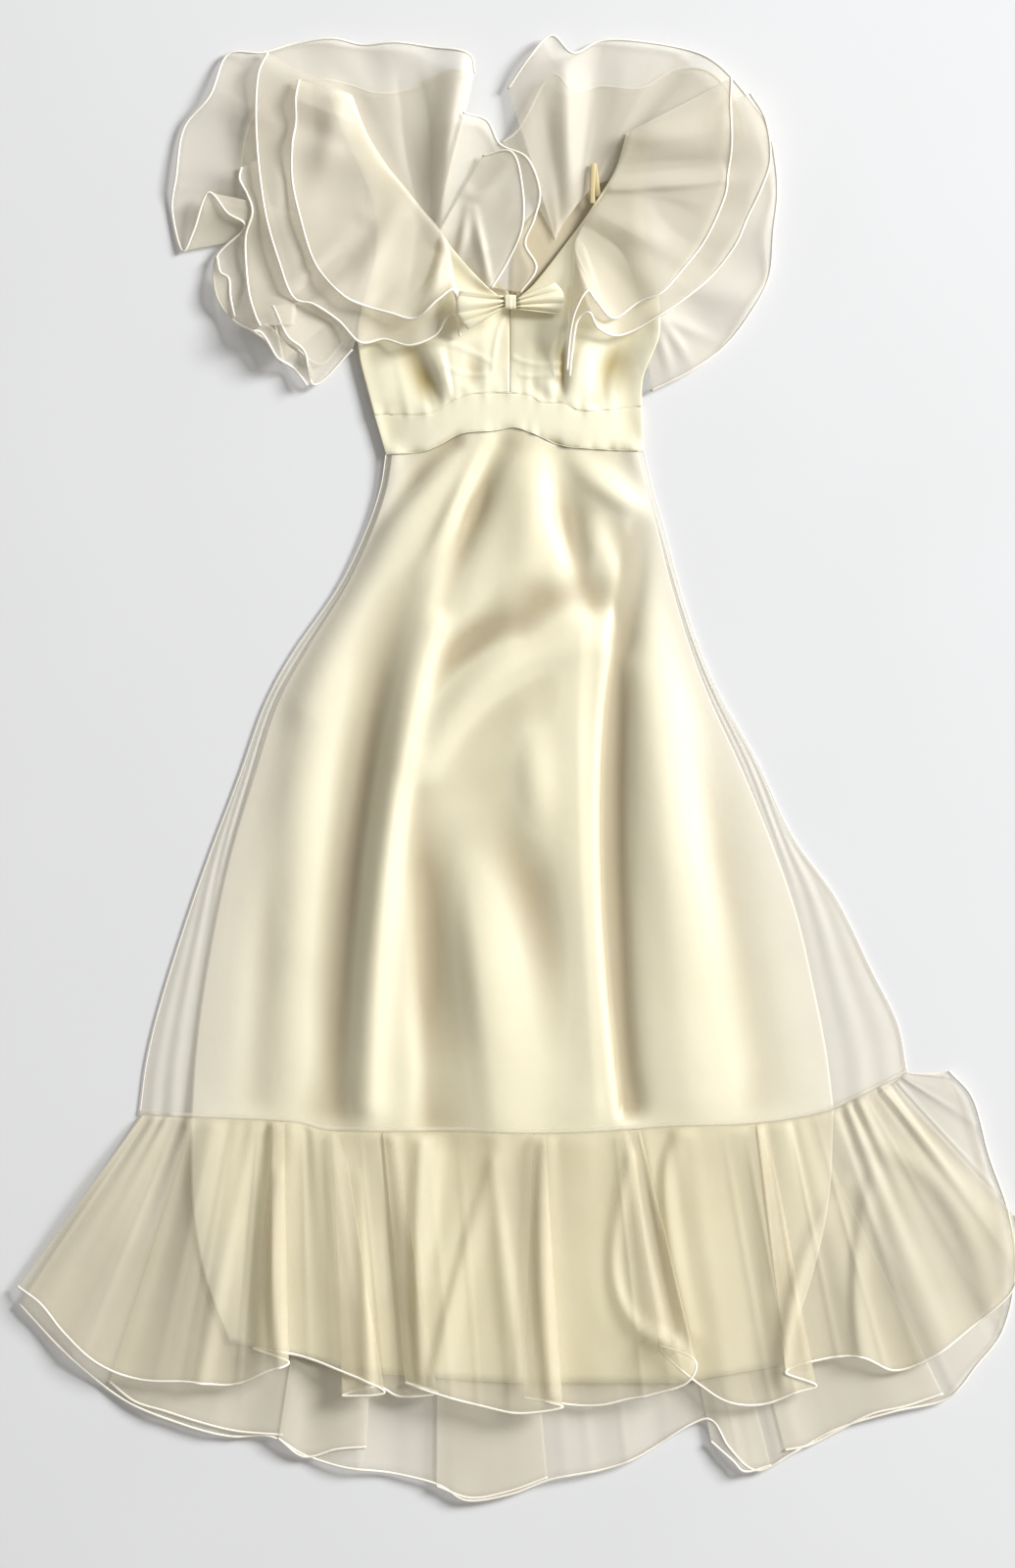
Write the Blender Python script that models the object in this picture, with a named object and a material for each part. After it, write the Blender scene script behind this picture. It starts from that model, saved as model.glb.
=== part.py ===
"""A 1970s ivory evening gown, laid out flat on its back.

A satin bodice and midriff, a satin underskirt with a sheer organza skirt over it, a gathered organza
flounce at the hem, a two-tier organza ruffle round the deep neckline, and a small satin bow.
Metres, +Z up. The origin is on the floor under the middle of the midriff, +X is to the right of the
laid-out gown and +Y is towards its neck. Left and right are as seen from above.
"""

import bpy
import numpy as np
from mathutils.bvhtree import BVHTree

MM = 0.001

# Cloth and seams
SATIN_WALL = 1.4 * MM
ORGANZA_WALL = 1.2 * MM
GAP = 0.3 * MM
SEAM_GAP = 0.8 * MM

# How high the cloth stands off what it lies on
SKIRT_PUFF = 11 * MM
BUST_PUFF = 19 * MM
SIDE_RISE = 6 * MM
GATHER_RISE = 4 * MM

# Width of the satin skirt's back against its front, as laid
BACK_SHARE = 0.975

# How the height of the cloth swells along a piece
TAIL_SHARES = (0, 0.1, 0.7, 1)
PUFF_SHARES = (0.75, 1, 1, 0.4)
BUST_HEIGHTS = (0, 0.3, 0.6, 1)
BUST_SHARES = (0.6, 1, 0.5, 0.05)

# Grid of each kind of piece: points across and points down
SKIRT_ACROSS = 21
SKIRT_DOWN = 13
TAIL_DOWN = 5
BODICE_ACROSS = 11
BODICE_DOWN = 12
BAND_DOWN = 4
FLOUNCE_DOWN = 4
RUFFLE_DOWN = 5
POINTS_PER_LINE = 2

# Map of how high the cloth already lies
CELL = 4 * MM
MAP_WEST = -700 * MM
MAP_SOUTH = -1400 * MM
MAP_CELLS = (350, 500)
SAMPLE = 0.125
DRAPE_ROUNDS = 60
SMOOTH_ROUNDS = 30
SLACK = 0.6
FREE_SHARE = 0.35
LOWEST_STEP = 0.02 * MM


def table(columns, *rows):
    """Rows of millimetres as named columns of metres."""
    return {name: MM * np.array(column, float) for name, column in zip(columns.split(), zip(*rows))}


# The seams that run across, from left to right
BAND_TOP = table(
    "x y",
    (-159, 7), (-96, 8), (-68, 22), (-40, 31), (16, 31), (40, 21), (62, 20), (88, 11), (155, 17),
)
BAND_BOTTOM = table(
    "x y",
    (-145, -39), (-104, -36), (-82, -28), (-56, -15), (-20, -12), (5, -8), (30, -16), (58, -28),
    (86, -32), (157, -35),
)
FLOUNCE_SEAM = table(
    "x y",
    (-434, -813), (-361, -816), (-254, -821), (-205, -831), (-61, -832), (62, -834), (197, -826),
    (286, -823), (363, -811), (437, -784), (466, -764),
)

# Outline of the sheer skirt: a row for each level down to the flounce seam
SKIRT = table(
    "y left right",
    (-38, 145, 157), (-80, 152, 167), (-132, 170, 182), (-195, 201, 198), (-270, 253, 221),
    (-333, 287, 247), (-414, 316, 290), (-506, 351, 331), (-586, 379, 383), (-678, 408, 425),
    (-747, 425, 455), (-813, 434, 466),
)
# Outline of the satin underskirt: the same levels, then its tail beneath the flounce
UNDERSKIRT = table(
    "y left right",
    (-38, 138, 150), (-80, 145, 160), (-132, 163, 174), (-195, 193, 190), (-270, 240, 213),
    (-333, 274, 237), (-414, 300, 274), (-506, 328, 311), (-586, 346, 338), (-678, 362, 359),
    (-747, 370, 372), (-813, 374, 380),
)
TAIL = table("y left right", (-813, 374, 380), (-920, 372, 374), (-1020, 358, 352), (-1127, 328, 317))

# Soft ridges and troughs of the skirt: start, middle and end, half width, height at start and at end
SKIRT_FOLDS = table(
    "x0 y0 x1 y1 x2 y2 width first last",
    (138, -126, 113, -380, 138, -790, 14, -10, -7),
    (96, -150, 88, -380, 104, -770, 28, 8, 3),
    (163, -195, 174, -425, 212, -770, 38, 6, 3),
    (-103, -150, -172, -380, -207, -770, 36, -6, -4),
    (-57, -161, -127, -425, -172, -770, 28, 8, 3),
    (-92, -437, -109, -540, -98, -770, 26, -6, -4),
    (-23, -460, 0, -598, -23, -770, 42, 7, 3),
    (-92, -391, -23, -299, 103, -264, 24, 7, 6),
    (-103, -356, -46, -287, 46, -241, 24, -4, -4),
    (-57, -30, -138, -115, -207, -218, 22, 6, 8),
    (-75, -40, -115, -75, -155, -104, 14, -4, -4),
    (-11, -46, -46, -115, -57, -150, 12, -5, -4),
    (23, -40, 17, -103, 11, -195, 24, 6, 5),
    (63, -57, 72, -103, 80, -150, 18, -5, -4),
    (80, -57, 126, -86, 167, -98, 14, 5, 4),
)
# Darts and bust folds of the bodice
BODICE_FOLDS = table(
    "x0 y0 x1 y1 x2 y2 width first last",
    (-80, 69, -73, 46, -66, 25, 7, 4, 3),
    (-109, 58, -92, 36, -79, 12, 11, -9, -8),
    (63, 98, 62, 60, 61, 22, 7, -6, -8),
    (92, 98, 80, 66, 69, 34, 14, 6, 5),
    (121, 92, 135, 63, 150, 34, 12, -6, -5),
)

# Bodice halves from the band up to the shoulder: outer (side, armhole) and inner (front, neck) edge
BODICE_LEFT = table(
    "outer_x outer_y inner_x inner_y",
    (-159, 7, 0, 31), (-168, 40, 0, 67), (-177, 78, 0, 103), (-177, 115, 0, 134), (-166, 161, -26, 156),
    (-156, 207, -60, 193), (-161, 259, -97, 239), (-182, 310, -140, 294), (-201, 351, -170, 341),
    (-212, 382, -188, 383),
)
BODICE_RIGHT = table(
    "outer_x outer_y inner_x inner_y",
    (155, 17, 0, 31), (157, 52, 0, 67), (175, 98, 0, 103), (175, 139, 2, 134), (170, 178, 29, 161),
    (159, 218, 65, 207), (156, 259, 98, 252), (161, 299, 124, 295), (170, 336, 137, 337),
)
BACK_LEFT = table(
    "outer_x outer_y inner_x inner_y",
    (-159, 7, 0, 31), (-168, 40, 0, 60), (-177, 78, 0, 92), (-177, 115, -4, 120), (-166, 161, -34, 156),
    (-156, 207, -68, 196), (-161, 259, -104, 243), (-182, 310, -146, 298), (-201, 351, -174, 343),
    (-212, 382, -190, 384),
)
BACK_RIGHT = table(
    "outer_x outer_y inner_x inner_y",
    (155, 17, 0, 31), (157, 52, 0, 60), (175, 98, 0, 92), (175, 139, 4, 120), (170, 178, 26, 158),
    (159, 218, 54, 206), (156, 259, 86, 252), (161, 299, 118, 297), (170, 336, 135, 338),
)

# Flounces: where each line starts on the seam, where it ends at the hem, and how high the hem stands.
# Where the hem turns back on itself, the cloth is folded over.
FLOUNCE_FRONT = table(
    "seam hem_x hem_y lift",
    (-430, -577, -1014, 2), (-414, -549, -1034, 7), (-398, -522, -1068, 3), (-380, -483, -1103, 8),
    (-355, -435, -1122, 3), (-325, -378, -1124, 9), (-297, -325, -1128, 5), (-280, -285, -1112, 14),
    (-270, -273, -1100, 12), (-262, -264, -1090, 5), (-250, -250, -1093, 1), (-228, -205, -1108, 6),
    (-207, -177, -1135, 15), (-196, -168, -1138, 8), (-182, -156, -1132, 2), (-162, -128, -1142, 4),
    (-142, -106, -1138, 1), (-130, -97, -1130, 8), (-105, -76, -1140, 14), (-60, -36, -1151, 15),
    (-10, 12, -1160, 16), (28, 46, -1152, 15), (41, 55, -1146, 8), (55, 72, -1152, 2),
    (85, 106, -1152, 6), (109, 136, -1145, 9), (127, 164, -1139, 15), (138, 190, -1124, 22),
    (148, 199, -1100, 18), (157, 208, -1090, 9), (166, 216, -1104, 2), (178, 228, -1128, 2),
    (205, 256, -1148, 7), (240, 296, -1151, 3), (274, 334, -1137, 11), (293, 346, -1128, 14),
    (305, 356, -1112, 7), (320, 372, -1098, 1), (340, 412, -1096, 7), (365, 452, -1112, 3),
    (389, 497, -1094, 8), (410, 545, -1058, 3), (425, 588, -1018, 7), (436, 600, -970, 3),
    (444, 591, -930, 2),
)
FLOUNCE_BACK = table(
    "seam hem_x hem_y lift",
    (-434, -575, -1035, 0), (-400, -525, -1088, 3), (-362, -460, -1143, 1), (-320, -395, -1172, 4),
    (-280, -330, -1190, 1), (-248, -280, -1190, 4), (-215, -240, -1212, 1), (-172, -195, -1226, 4),
    (-130, -140, -1233, 1), (-90, -85, -1246, 4), (-60, -50, -1265, 2), (-17, 0, -1258, 1),
    (20, 50, -1240, 4), (60, 108, -1229, 1), (100, 152, -1213, 4), (140, 212, -1176, 2),
    (165, 238, -1172, 1), (185, 258, -1204, 4), (210, 290, -1230, 1), (240, 334, -1208, 4),
    (275, 385, -1181, 1), (315, 450, -1161, 4), (355, 512, -1146, 1), (390, 548, -1106, 4),
    (425, 578, -1066, 1), (443, 592, -1000, 4), (451, 585, -930, 1), (457, 562, -862, 3),
    (462, 543, -795, 1), (466, 515, -762, 1),
)

# Ruffles: each line from the neck seam out to the hem, and how high the hem stands
RUFFLE_COLUMNS = "seam_x seam_y hem_x hem_y lift"
UPPER_FRONT_RIGHT = table(
    RUFFLE_COLUMNS,
    (139, 336, 259, 399, 9), (136, 322, 258, 369, 3), (131, 307, 259, 322, 6), (124, 291, 255, 287, 2),
    (116, 276, 251, 260, 7), (106, 259, 230, 213, 9), (95, 244, 204, 178, 4), (87, 231, 177, 148, 8),
    (80, 218, 150, 137, 5), (76, 207, 121, 118, 9), (76, 196, 100, 138, 17), (76, 184, 90, 148, 21),
    (75, 172, 76, 124, 15), (73, 161, 70, 95, 9), (71, 151, 67, 58, 3),
)
LOWER_FRONT_RIGHT = table(
    RUFFLE_COLUMNS,
    (141, 336, 282, 382, 4), (138, 322, 299, 351, 7), (133, 307, 305, 307, 3), (126, 291, 296, 275, 7),
    (118, 276, 279, 239, 3), (108, 259, 264, 205, 8), (97, 244, 236, 169, 4), (89, 231, 206, 143, 8),
    (82, 218, 172, 120, 5), (78, 207, 130, 99, 8), (77, 196, 104, 106, 14), (77, 185, 93, 124, 19),
    (76, 173, 79, 115, 12), (74, 162, 73, 80, 6), (72, 152, 70, 51, 2),
)
UPPER_FRONT_LEFT = table(
    RUFFLE_COLUMNS,
    (-60, 147, -61, 136, 2), (-63, 160, -67, 151, 9), (-67, 172, -84, 139, 12), (-68, 186, -110, 118, 6),
    (-70, 200, -139, 124, 11), (-74, 212, -167, 132, 6), (-82, 222, -193, 143, 13),
    (-92, 235, -217, 167, 9), (-104, 250, -232, 193, 3), (-115, 264, -245, 237, 7),
    (-129, 281, -254, 279, 3), (-143, 297, -254, 320, 8), (-156, 315, -250, 347, 3),
    (-170, 343, -250, 375, 6), (-184, 380, -246, 397, 3),
)
LOWER_FRONT_LEFT = table(
    RUFFLE_COLUMNS,
    (-60, 147, -58, 98, 4), (-62, 158, -64, 120, 13), (-65, 168, -73, 120, 11), (-67, 183, -87, 99, 5),
    (-70, 198, -117, 87, 9), (-74, 210, -147, 95, 4), (-80, 221, -175, 91, 9),
    (-88, 232, -200, 116, 5), (-97, 242, -228, 134, 9), (-106, 252, -253, 143, 4),
    (-115, 264, -270, 186, 7), (-129, 281, -285, 239, 3), (-143, 297, -294, 303, 7),
    (-156, 315, -297, 359, 3), (-170, 343, -294, 405, 6), (-184, 380, -283, 430, 3),
)
UPPER_BACK_RIGHT = table(
    RUFFLE_COLUMNS,
    (54, 213, -8, 327, 2), (58, 221, 13, 345, 8), (62, 230, 48, 405, 14), (69, 239, 76, 386, 5),
    (78, 251, 107, 393, 2), (88, 264, 154, 390, 6), (98, 276, 195, 412, 3), (106, 284, 236, 407, 6),
    (113, 287, 267, 368, 2), (120, 286, 276, 333, 5),
)
LOWER_BACK_RIGHT = table(
    RUFFLE_COLUMNS,
    (54, 211, -2, 389, 3), (57, 221, 23, 425, 8), (61, 230, 49, 451, 3), (68, 239, 74, 430, 14),
    (77, 251, 106, 445, 4), (88, 264, 147, 445, 8), (97, 273, 207, 435, 3), (105, 278, 245, 415, 8),
    (115, 280, 282, 375, 3), (124, 280, 304, 339, 7), (133, 276, 314, 276, 3), (140, 266, 309, 222, 7),
    (144, 250, 304, 169, 3), (147, 232, 283, 128, 8), (148, 213, 251, 87, 3), (147, 194, 213, 59, 7),
    (144, 178, 165, 35, 2),
)
UPPER_BACK_LEFT = table(
    RUFFLE_COLUMNS,
    (-82, 223, -56, 411, 4), (-86, 230, -75, 409, 12), (-95, 239, -115, 390, 3), (-106, 251, -155, 384, 6),
    (-120, 266, -187, 394, 2), (-133, 279, -224, 400, 6), (-144, 288, -270, 393, 2),
    (-154, 291, -304, 351, 6), (-162, 284, -315, 293, 2), (-167, 266, -302, 247, 7),
    (-167, 240, -310, 213, 3), (-163, 213, -308, 167, 7), (-161, 193, -297, 122, 3),
    (-161, 173, -264, 98, 8), (-163, 150, -224, 67, 3), (-168, 132, -196, 92, 5),
)
LOWER_BACK_LEFT = table(
    RUFFLE_COLUMNS,
    (-82, 223, -41, 408, 4), (-84, 228, -48, 428, 14), (-87, 232, -86, 436, 5), (-94, 239, -132, 443, 9),
    (-106, 251, -172, 441, 3), (-120, 265, -209, 448, 6), (-133, 277, -253, 442, 3),
    (-145, 286, -290, 431, 7), (-156, 290, -331, 429, 3), (-164, 286, -351, 381, 7),
    (-169, 277, -382, 343, 3), (-171, 265, -391, 287, 6), (-170, 253, -396, 247, 2),
    (-168, 240, -388, 222, 5), (-166, 228, -374, 212, 11), (-164, 216, -354, 205, 12),
    (-162, 203, -345, 190, 3),
    (-160, 188, -343, 149, 8), (-160, 176, -310, 97, 3), (-161, 163, -268, 69, 8),
    (-163, 148, -228, 40, 3), (-168, 132, -184, 84, 5),
)
INNER_LONG = table(
    RUFFLE_COLUMNS,
    (-90, 219, -54, 359, 2), (-86, 213, -27, 352, 6), (-82, 208, -11, 324, 2), (-76, 201, 20, 307, 8),
    (-70, 193, 35, 269, 4), (-62, 184, 29, 237, 8), (-54, 175, 18, 208, 3), (-48, 168, 31, 179, 6),
    (-42, 161, 12, 150, 2),
)
INNER_SHORT = table(
    RUFFLE_COLUMNS,
    (-86, 215, -32, 310, 3), (-81, 207, 2, 313, 9), (-74, 198, 14, 276, 4), (-66, 188, 15, 228, 10),
    (-56, 177, -2, 187, 4), (-44, 164, -21, 155, 6),
)

# Bow: each loop from the knot to its end
BOW = table(
    "knot_x knot_y end_x end_y knot_width end_width height",
    (-6, 136, -58, 125, 13, 46, 9),
    (8, 136, 64, 147, 13, 34, 9),
)
BOW_ACROSS = 13
BOW_TURN = 9
BOW_PLEATS = 3
PLEAT_DEPTH = 1.2 * MM
KNOT = table("x y width length height", (1, 136, 13, 20, 8))
KNOT_CORNER = 2.5 * MM

# Ribbon loops for a hanger, inside the right shoulder
HANGER = table(
    "x y rise",
    (104, 262, 0), (102, 278, 0), (100, 294, 0.3), (99, 301, 2), (98, 295, 3.6), (97, 275, 3.6),
    (97, 254, 3.6),
)
RIBBON_WIDTH = 6 * MM
RIBBON_WALL = 1.0 * MM
RIBBON_POINTS = 9

ground = np.zeros(MAP_CELLS)
laid = []
waiting = []


def smooth(values, count):
    """Evenly spaced values of a smooth curve that passes through the given ones."""
    place = np.linspace(0, len(values) - 1, count)
    index = np.minimum(place.astype(int), len(values) - 2)
    part = place - index
    padded = np.concatenate(([2 * values[0] - values[1]], values, [2 * values[-1] - values[-2]]))
    a, b, c, d = (padded[index + shift] for shift in range(4))
    return b + 0.5 * part * (c - a + part * (2 * a - 5 * b + 4 * c - d + part * (3 * (b - c) + d - a)))


def curve(rows, first, second, count):
    return np.stack((smooth(rows[first], count), smooth(rows[second], count)), axis=-1)


def between(start, end, steps):
    """A grid of plan points on straight lines from start to end."""
    share = np.linspace(0, 1, steps)[None, :, None]
    return start[:, None] * (1 - share) + end[:, None] * share


def across_skirt(outline, down):
    """Plan points of a skirt panel, spread evenly to the left and right of its middle line."""
    side = np.linspace(-1, 1, SKIRT_ACROSS)[:, None]
    left, right, y = (smooth(outline[name], down)[None, :] for name in ("left", "right", "y"))
    x = np.where(side < 0, side * left, side * right)
    return np.stack((x, np.broadcast_to(y, x.shape)), axis=-1)


def bend_to_seams(plan, top=None, bottom=None):
    """Moves the rows so that the first and last follow the seams, and those between in proportion."""
    share = np.linspace(0, 1, plan.shape[1])[None, :]
    for seam, weight, edge in ((top, (1 - share) ** 2, 0), (bottom, share ** 2, -1)):
        if seam is not None:
            wanted = np.interp(plan[:, edge, 0], seam["x"], seam["y"])
            plan[:, :, 1] += weight * (wanted - plan[:, edge, 1])[:, None]
    return plan


def folds(plan, rows):
    """Height of soft ridges and troughs: each follows a curve through three points."""
    height = np.zeros(plan.shape[:2])
    step = np.linspace(0, 1, 25)
    for x0, y0, x1, y1, x2, y2, width, first, last in zip(*rows.values()):
        weights = ((1 - step) * (1 - 2 * step), 4 * step * (1 - step), step * (2 * step - 1))
        xs = weights[0] * x0 + weights[1] * x1 + weights[2] * x2
        ys = weights[0] * y0 + weights[1] * y1 + weights[2] * y2
        away = np.hypot(plan[..., 0, None] - xs, plan[..., 1, None] - ys)
        nearest = away.argmin(axis=-1)
        bell = np.exp(-(away.min(axis=-1) / width) ** 2)
        height += bell * (first + (last - first) * step[nearest])
    return height


def map_cells(plan):
    return ((plan[..., 0] - MAP_WEST) / CELL).astype(int), ((plan[..., 1] - MAP_SOUTH) / CELL).astype(int)


def widened_ground():
    """The heights laid so far, each carried one cell sideways."""
    high = ground
    for axis in (0, 1):
        high = np.maximum(high, np.maximum(np.roll(high, 1, axis), np.roll(high, -1, axis)))
    return high


def halves(grid):
    """Corners of the two triangles of each cell of a grid."""
    a, b, c, d = grid[:-1, :-1], grid[1:, :-1], grid[1:, 1:], grid[:-1, 1:]
    return (a, b, c), (a, c, d)


def sample_weights():
    """Weights of a triangle's corners at evenly spread spots."""
    step = np.arange(0, 1 + SAMPLE / 2, SAMPLE)
    one, two = (part.reshape(-1) for part in np.meshgrid(step, step))
    inside = one + two < 1 + SAMPLE / 2
    one, two = one[inside], two[inside]
    return np.stack((1 - one - two, one, two), axis=-1)


def mixed(corners, weights):
    """Values at the sample spots of each triangle."""
    return sum(corner[..., None] * weights[:, k] for k, corner in enumerate(corners))


def drape(plan, relief, wall, pinned=None):
    """Heights of a sheet with its own relief, raised only where the pieces below it lift it.

    Each triangle is tried at many spots against the map, and its corners go up by what it lacks.
    pinned is a row of the grid and the heights at which it stays: spots close to it are passed over.
    """
    weights = sample_weights()
    share = (weights ** 2).sum(axis=1)
    number = np.arange(plan[..., 0].size).reshape(plan.shape[:2])
    high = widened_ground()
    free = np.ones(plan.shape[:2])
    if pinned is not None:
        free[:, pinned[0]] = 0
    targets = []
    for xs, ys, loose in zip(halves(plan[..., 0]), halves(plan[..., 1]), halves(free)):
        under = high[map_cells(np.stack((mixed(xs, weights), mixed(ys, weights)), axis=-1))]
        under = under + np.where(under > 0, GAP, 0) + SLACK * wall
        targets.append(np.where(mixed(loose, weights) < FREE_SHARE, 0, under))
    height = relief + SLACK * wall
    if pinned is not None:
        height = blend_edge(height, *pinned)
    for turn in range(DRAPE_ROUNDS):
        push = np.zeros(height.size)
        for target, corners, numbers in zip(targets, halves(height), halves(number)):
            lack = np.maximum(target - mixed(corners, weights), 0)
            last = turn == DRAPE_ROUNDS - 1
            for k in range(3):
                need = lack if last else lack * weights[:, k] / share
                np.maximum.at(push, numbers[k], need.max(axis=-1))
        push = push.reshape(height.shape)
        if pinned is not None:
            push[:, pinned[0]] = 0
        height = height + push
        if turn < SMOOTH_ROUNDS:
            raised = height - relief
            wide = np.pad(raised, 1, mode="edge")
            mean = (wide[2:, 1:-1] + wide[:-2, 1:-1] + wide[1:-1, 2:] + wide[1:-1, :-2]) / 4
            smoothed = relief + (raised + mean) / 2
            if pinned is not None:
                smoothed[:, pinned[0]] = height[:, pinned[0]]
            height = smoothed
    return height


def blend_edge(height, edge, wanted):
    """Brings one edge of a sheet to the wanted heights, and the rest of it less and less."""
    share = np.linspace(0, 1, height.shape[1])[None, :]
    weight = (1 - share) ** 3 if edge == 0 else share ** 3
    return height + weight * (wanted - height[:, edge])[:, None]


def edge_height(plan, edge, neighbour):
    """Heights of the neighbour's edge beside this edge of the plan."""
    order = neighbour[:, 0].argsort()
    return np.interp(plan[:, edge, 0], neighbour[order, 0], neighbour[order, 2])


def grid_faces(across, down):
    number = np.arange(across * down).reshape(across, down)
    a, b, c, d = number[:-1, :-1], number[1:, :-1], number[1:, 1:], number[:-1, 1:]
    both = (np.stack((a, b, c), axis=-1), np.stack((a, c, d), axis=-1))
    return np.concatenate([half.reshape(-1, 3) for half in both])


def upward(points):
    """The same grid, turned where needed so that its faces look up."""
    along = points[1:, :-1] - points[:-1, :-1]
    down = points[:-1, 1:] - points[:-1, :-1]
    return points if np.cross(along, down)[..., 2].sum() > 0 else points[::-1]


def normals(points):
    along = np.gradient(points, axis=0)
    down = np.gradient(points, axis=1)
    across = np.cross(along, down)
    return across / np.linalg.norm(across, axis=-1, keepdims=True)


def finish(name, colour, roughness, sheen):
    """Cloth: a colour, how dull it is and how much its nap glows."""
    made = bpy.data.materials.new(name)
    made.use_nodes = True
    shader = made.node_tree.nodes["Principled BSDF"]
    shader.inputs["Base Color"].default_value = (*colour, 1)
    shader.inputs["Roughness"].default_value = roughness
    shader.inputs["Metallic"].default_value = 0
    shader.inputs["Sheen Weight"].default_value = sheen
    made.diffuse_color = (*colour, 1)
    return made


def cloth(name, points, wall, material):
    """One piece: a wall of cloth round a grid of points, split into triangles alike on each layer."""
    points = upward(points)
    mesh = bpy.data.meshes.new(name)
    mesh.from_pydata(points.reshape(-1, 3).tolist(), [], grid_faces(*points.shape[:2]).tolist())
    mesh.shade_smooth()
    mesh.materials.append(material)
    piece = bpy.data.objects.new(name, mesh)
    bpy.context.collection.objects.link(piece)
    thickness = piece.modifiers.new("wall", "SOLIDIFY")
    thickness.thickness = wall
    thickness.offset = 0
    return piece


def shape_of(piece):
    """Corner places and faces of a piece as it stands, with its wall."""
    bpy.context.view_layer.update()
    seen = piece.evaluated_get(bpy.context.evaluated_depsgraph_get()).to_mesh()
    places = np.array([corner.co for corner in seen.vertices])
    return places, [list(face.vertices) for face in seen.polygons]


def room_below(places, faces):
    """How far a piece can come down and still clear the floor and the pieces under it."""
    least, most = 0.0, places[:, 2].min()
    if most < LOWEST_STEP:
        return 0.0
    while most - least > LOWEST_STEP:
        drop = (least + most) / 2
        lowered = BVHTree.FromPolygons((places - (0, 0, drop + GAP)).tolist(), faces)
        if any(lowered.overlap(other) for other in laid):
            most = drop
        else:
            least = drop
    return least


def remember(points, wall):
    """Adds a sheet to the map of heights."""
    weights = sample_weights()
    for corners in halves(points):
        x, y, z = (mixed([corner[..., axis] for corner in corners], weights) for axis in range(3))
        np.maximum.at(ground, map_cells(np.stack((x, y), axis=-1)), z + SLACK * wall)


def put_down(name, points, wall, material, settle=True):
    """Makes a piece, lowers it on to what carries it, and keeps it for the pieces above."""
    piece = cloth(name, points, wall, material)
    places, faces = shape_of(piece)
    if settle:
        drop = room_below(places, faces)
        points = points - (0, 0, drop)
        places = places - (0, 0, drop)
        for corner in piece.data.vertices:
            corner.co.z -= drop
    waiting.append((BVHTree.FromPolygons(places.tolist(), faces), points, wall))
    return points


def done():
    """From here on the pieces put down so far carry the ones that follow. Neighbours at a seam wait."""
    for tree, points, wall in waiting:
        laid.append(tree)
        remember(points, wall)
    waiting.clear()


def with_height(plan, height):
    return np.concatenate((plan, height[..., None]), axis=-1)


def fan(rows, down):
    """Plan points and hem lift of a ruffle."""
    count = POINTS_PER_LINE * (len(rows["lift"]) - 1) + 1
    plan = between(curve(rows, "seam_x", "seam_y", count), curve(rows, "hem_x", "hem_y", count), down)
    return plan, smooth(rows["lift"], count)[:, None] * np.linspace(0, 1, down)[None, :]


def lay_ruffle(name, rows, material):
    plan, lift = fan(rows, RUFFLE_DOWN)
    put_down(name, with_height(plan, drape(plan, lift, ORGANZA_WALL)), ORGANZA_WALL, material)
    done()


def flounce_plan(rows, skirt):
    """Plan points and hem lift of a flounce whose upper edge follows the skirt, a seam gap away."""
    count = POINTS_PER_LINE * (len(rows["lift"]) - 1) + 1
    edge = skirt[skirt[:, -1, 0].argsort(), -1]
    seam_x = smooth(rows["seam"], count)
    seam = np.stack((seam_x, np.interp(seam_x, edge[:, 0], edge[:, 1]) - SEAM_GAP), axis=-1)
    plan = between(seam, curve(rows, "hem_x", "hem_y", count), FLOUNCE_DOWN)
    return plan, smooth(rows["lift"], count)[:, None] * np.linspace(0, 1, FLOUNCE_DOWN)[None, :], edge


def from_middle(count):
    """How far each column is from the middle line, 0 to 1, with its sign for left and right."""
    return np.linspace(-1, 1, count)[:, None]


def side_rise(side):
    """Back pieces curl up a little towards the side seams."""
    return SIDE_RISE * np.abs(side) ** 8


def lay_skirt_back(organza):
    plan = bend_to_seams(across_skirt(SKIRT, SKIRT_DOWN), BAND_BOTTOM, FLOUNCE_SEAM)[::2]
    fade = np.linspace(1, 0, SKIRT_DOWN)[None, :] ** 4
    height = ORGANZA_WALL / 2 + side_rise(from_middle(len(plan))) * fade
    skirt = put_down("skirt_back", with_height(plan, height), ORGANZA_WALL, organza)
    plan, lift, _ = flounce_plan(FLOUNCE_BACK, skirt)
    put_down("flounce_back", with_height(plan, ORGANZA_WALL / 2 + lift), ORGANZA_WALL, organza)
    return skirt


def underskirt_plan():
    """Plan points of the satin skirt down to the flounce seam, and of its tail below."""
    upper = across_skirt(UNDERSKIRT, SKIRT_DOWN)
    tail = bend_to_seams(across_skirt(TAIL, TAIL_DOWN), FLOUNCE_SEAM)
    return bend_to_seams(upper, BAND_BOTTOM, FLOUNCE_SEAM), tail[:, 1:]


def lay_underskirt(satin):
    """Back and front of the satin skirt. Returns the points of the front."""
    upper, tail = underskirt_plan()
    plan = np.concatenate((upper, tail), axis=1)
    side = from_middle(SKIRT_ACROSS)
    back = plan[::2] * (BACK_SHARE, 1)
    fade = np.linspace(1, 0, back.shape[1])[None, :] ** 6
    height = drape(back, side_rise(side[::2]) * fade, SATIN_WALL)
    put_down("underskirt_back", with_height(back, height), SATIN_WALL, satin)
    done()
    down = np.linspace(0, 1, plan.shape[1])[None, :]
    puff = SKIRT_PUFF * (1 - side ** 4) * np.interp(down, TAIL_SHARES, PUFF_SHARES)
    relief = np.maximum(puff + folds(plan, SKIRT_FOLDS) * (1 - side ** 8), 0)
    points = with_height(plan, drape(plan, relief, SATIN_WALL))
    front = put_down("underskirt_front", points, SATIN_WALL, satin)
    done()
    return upward(front)


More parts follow.
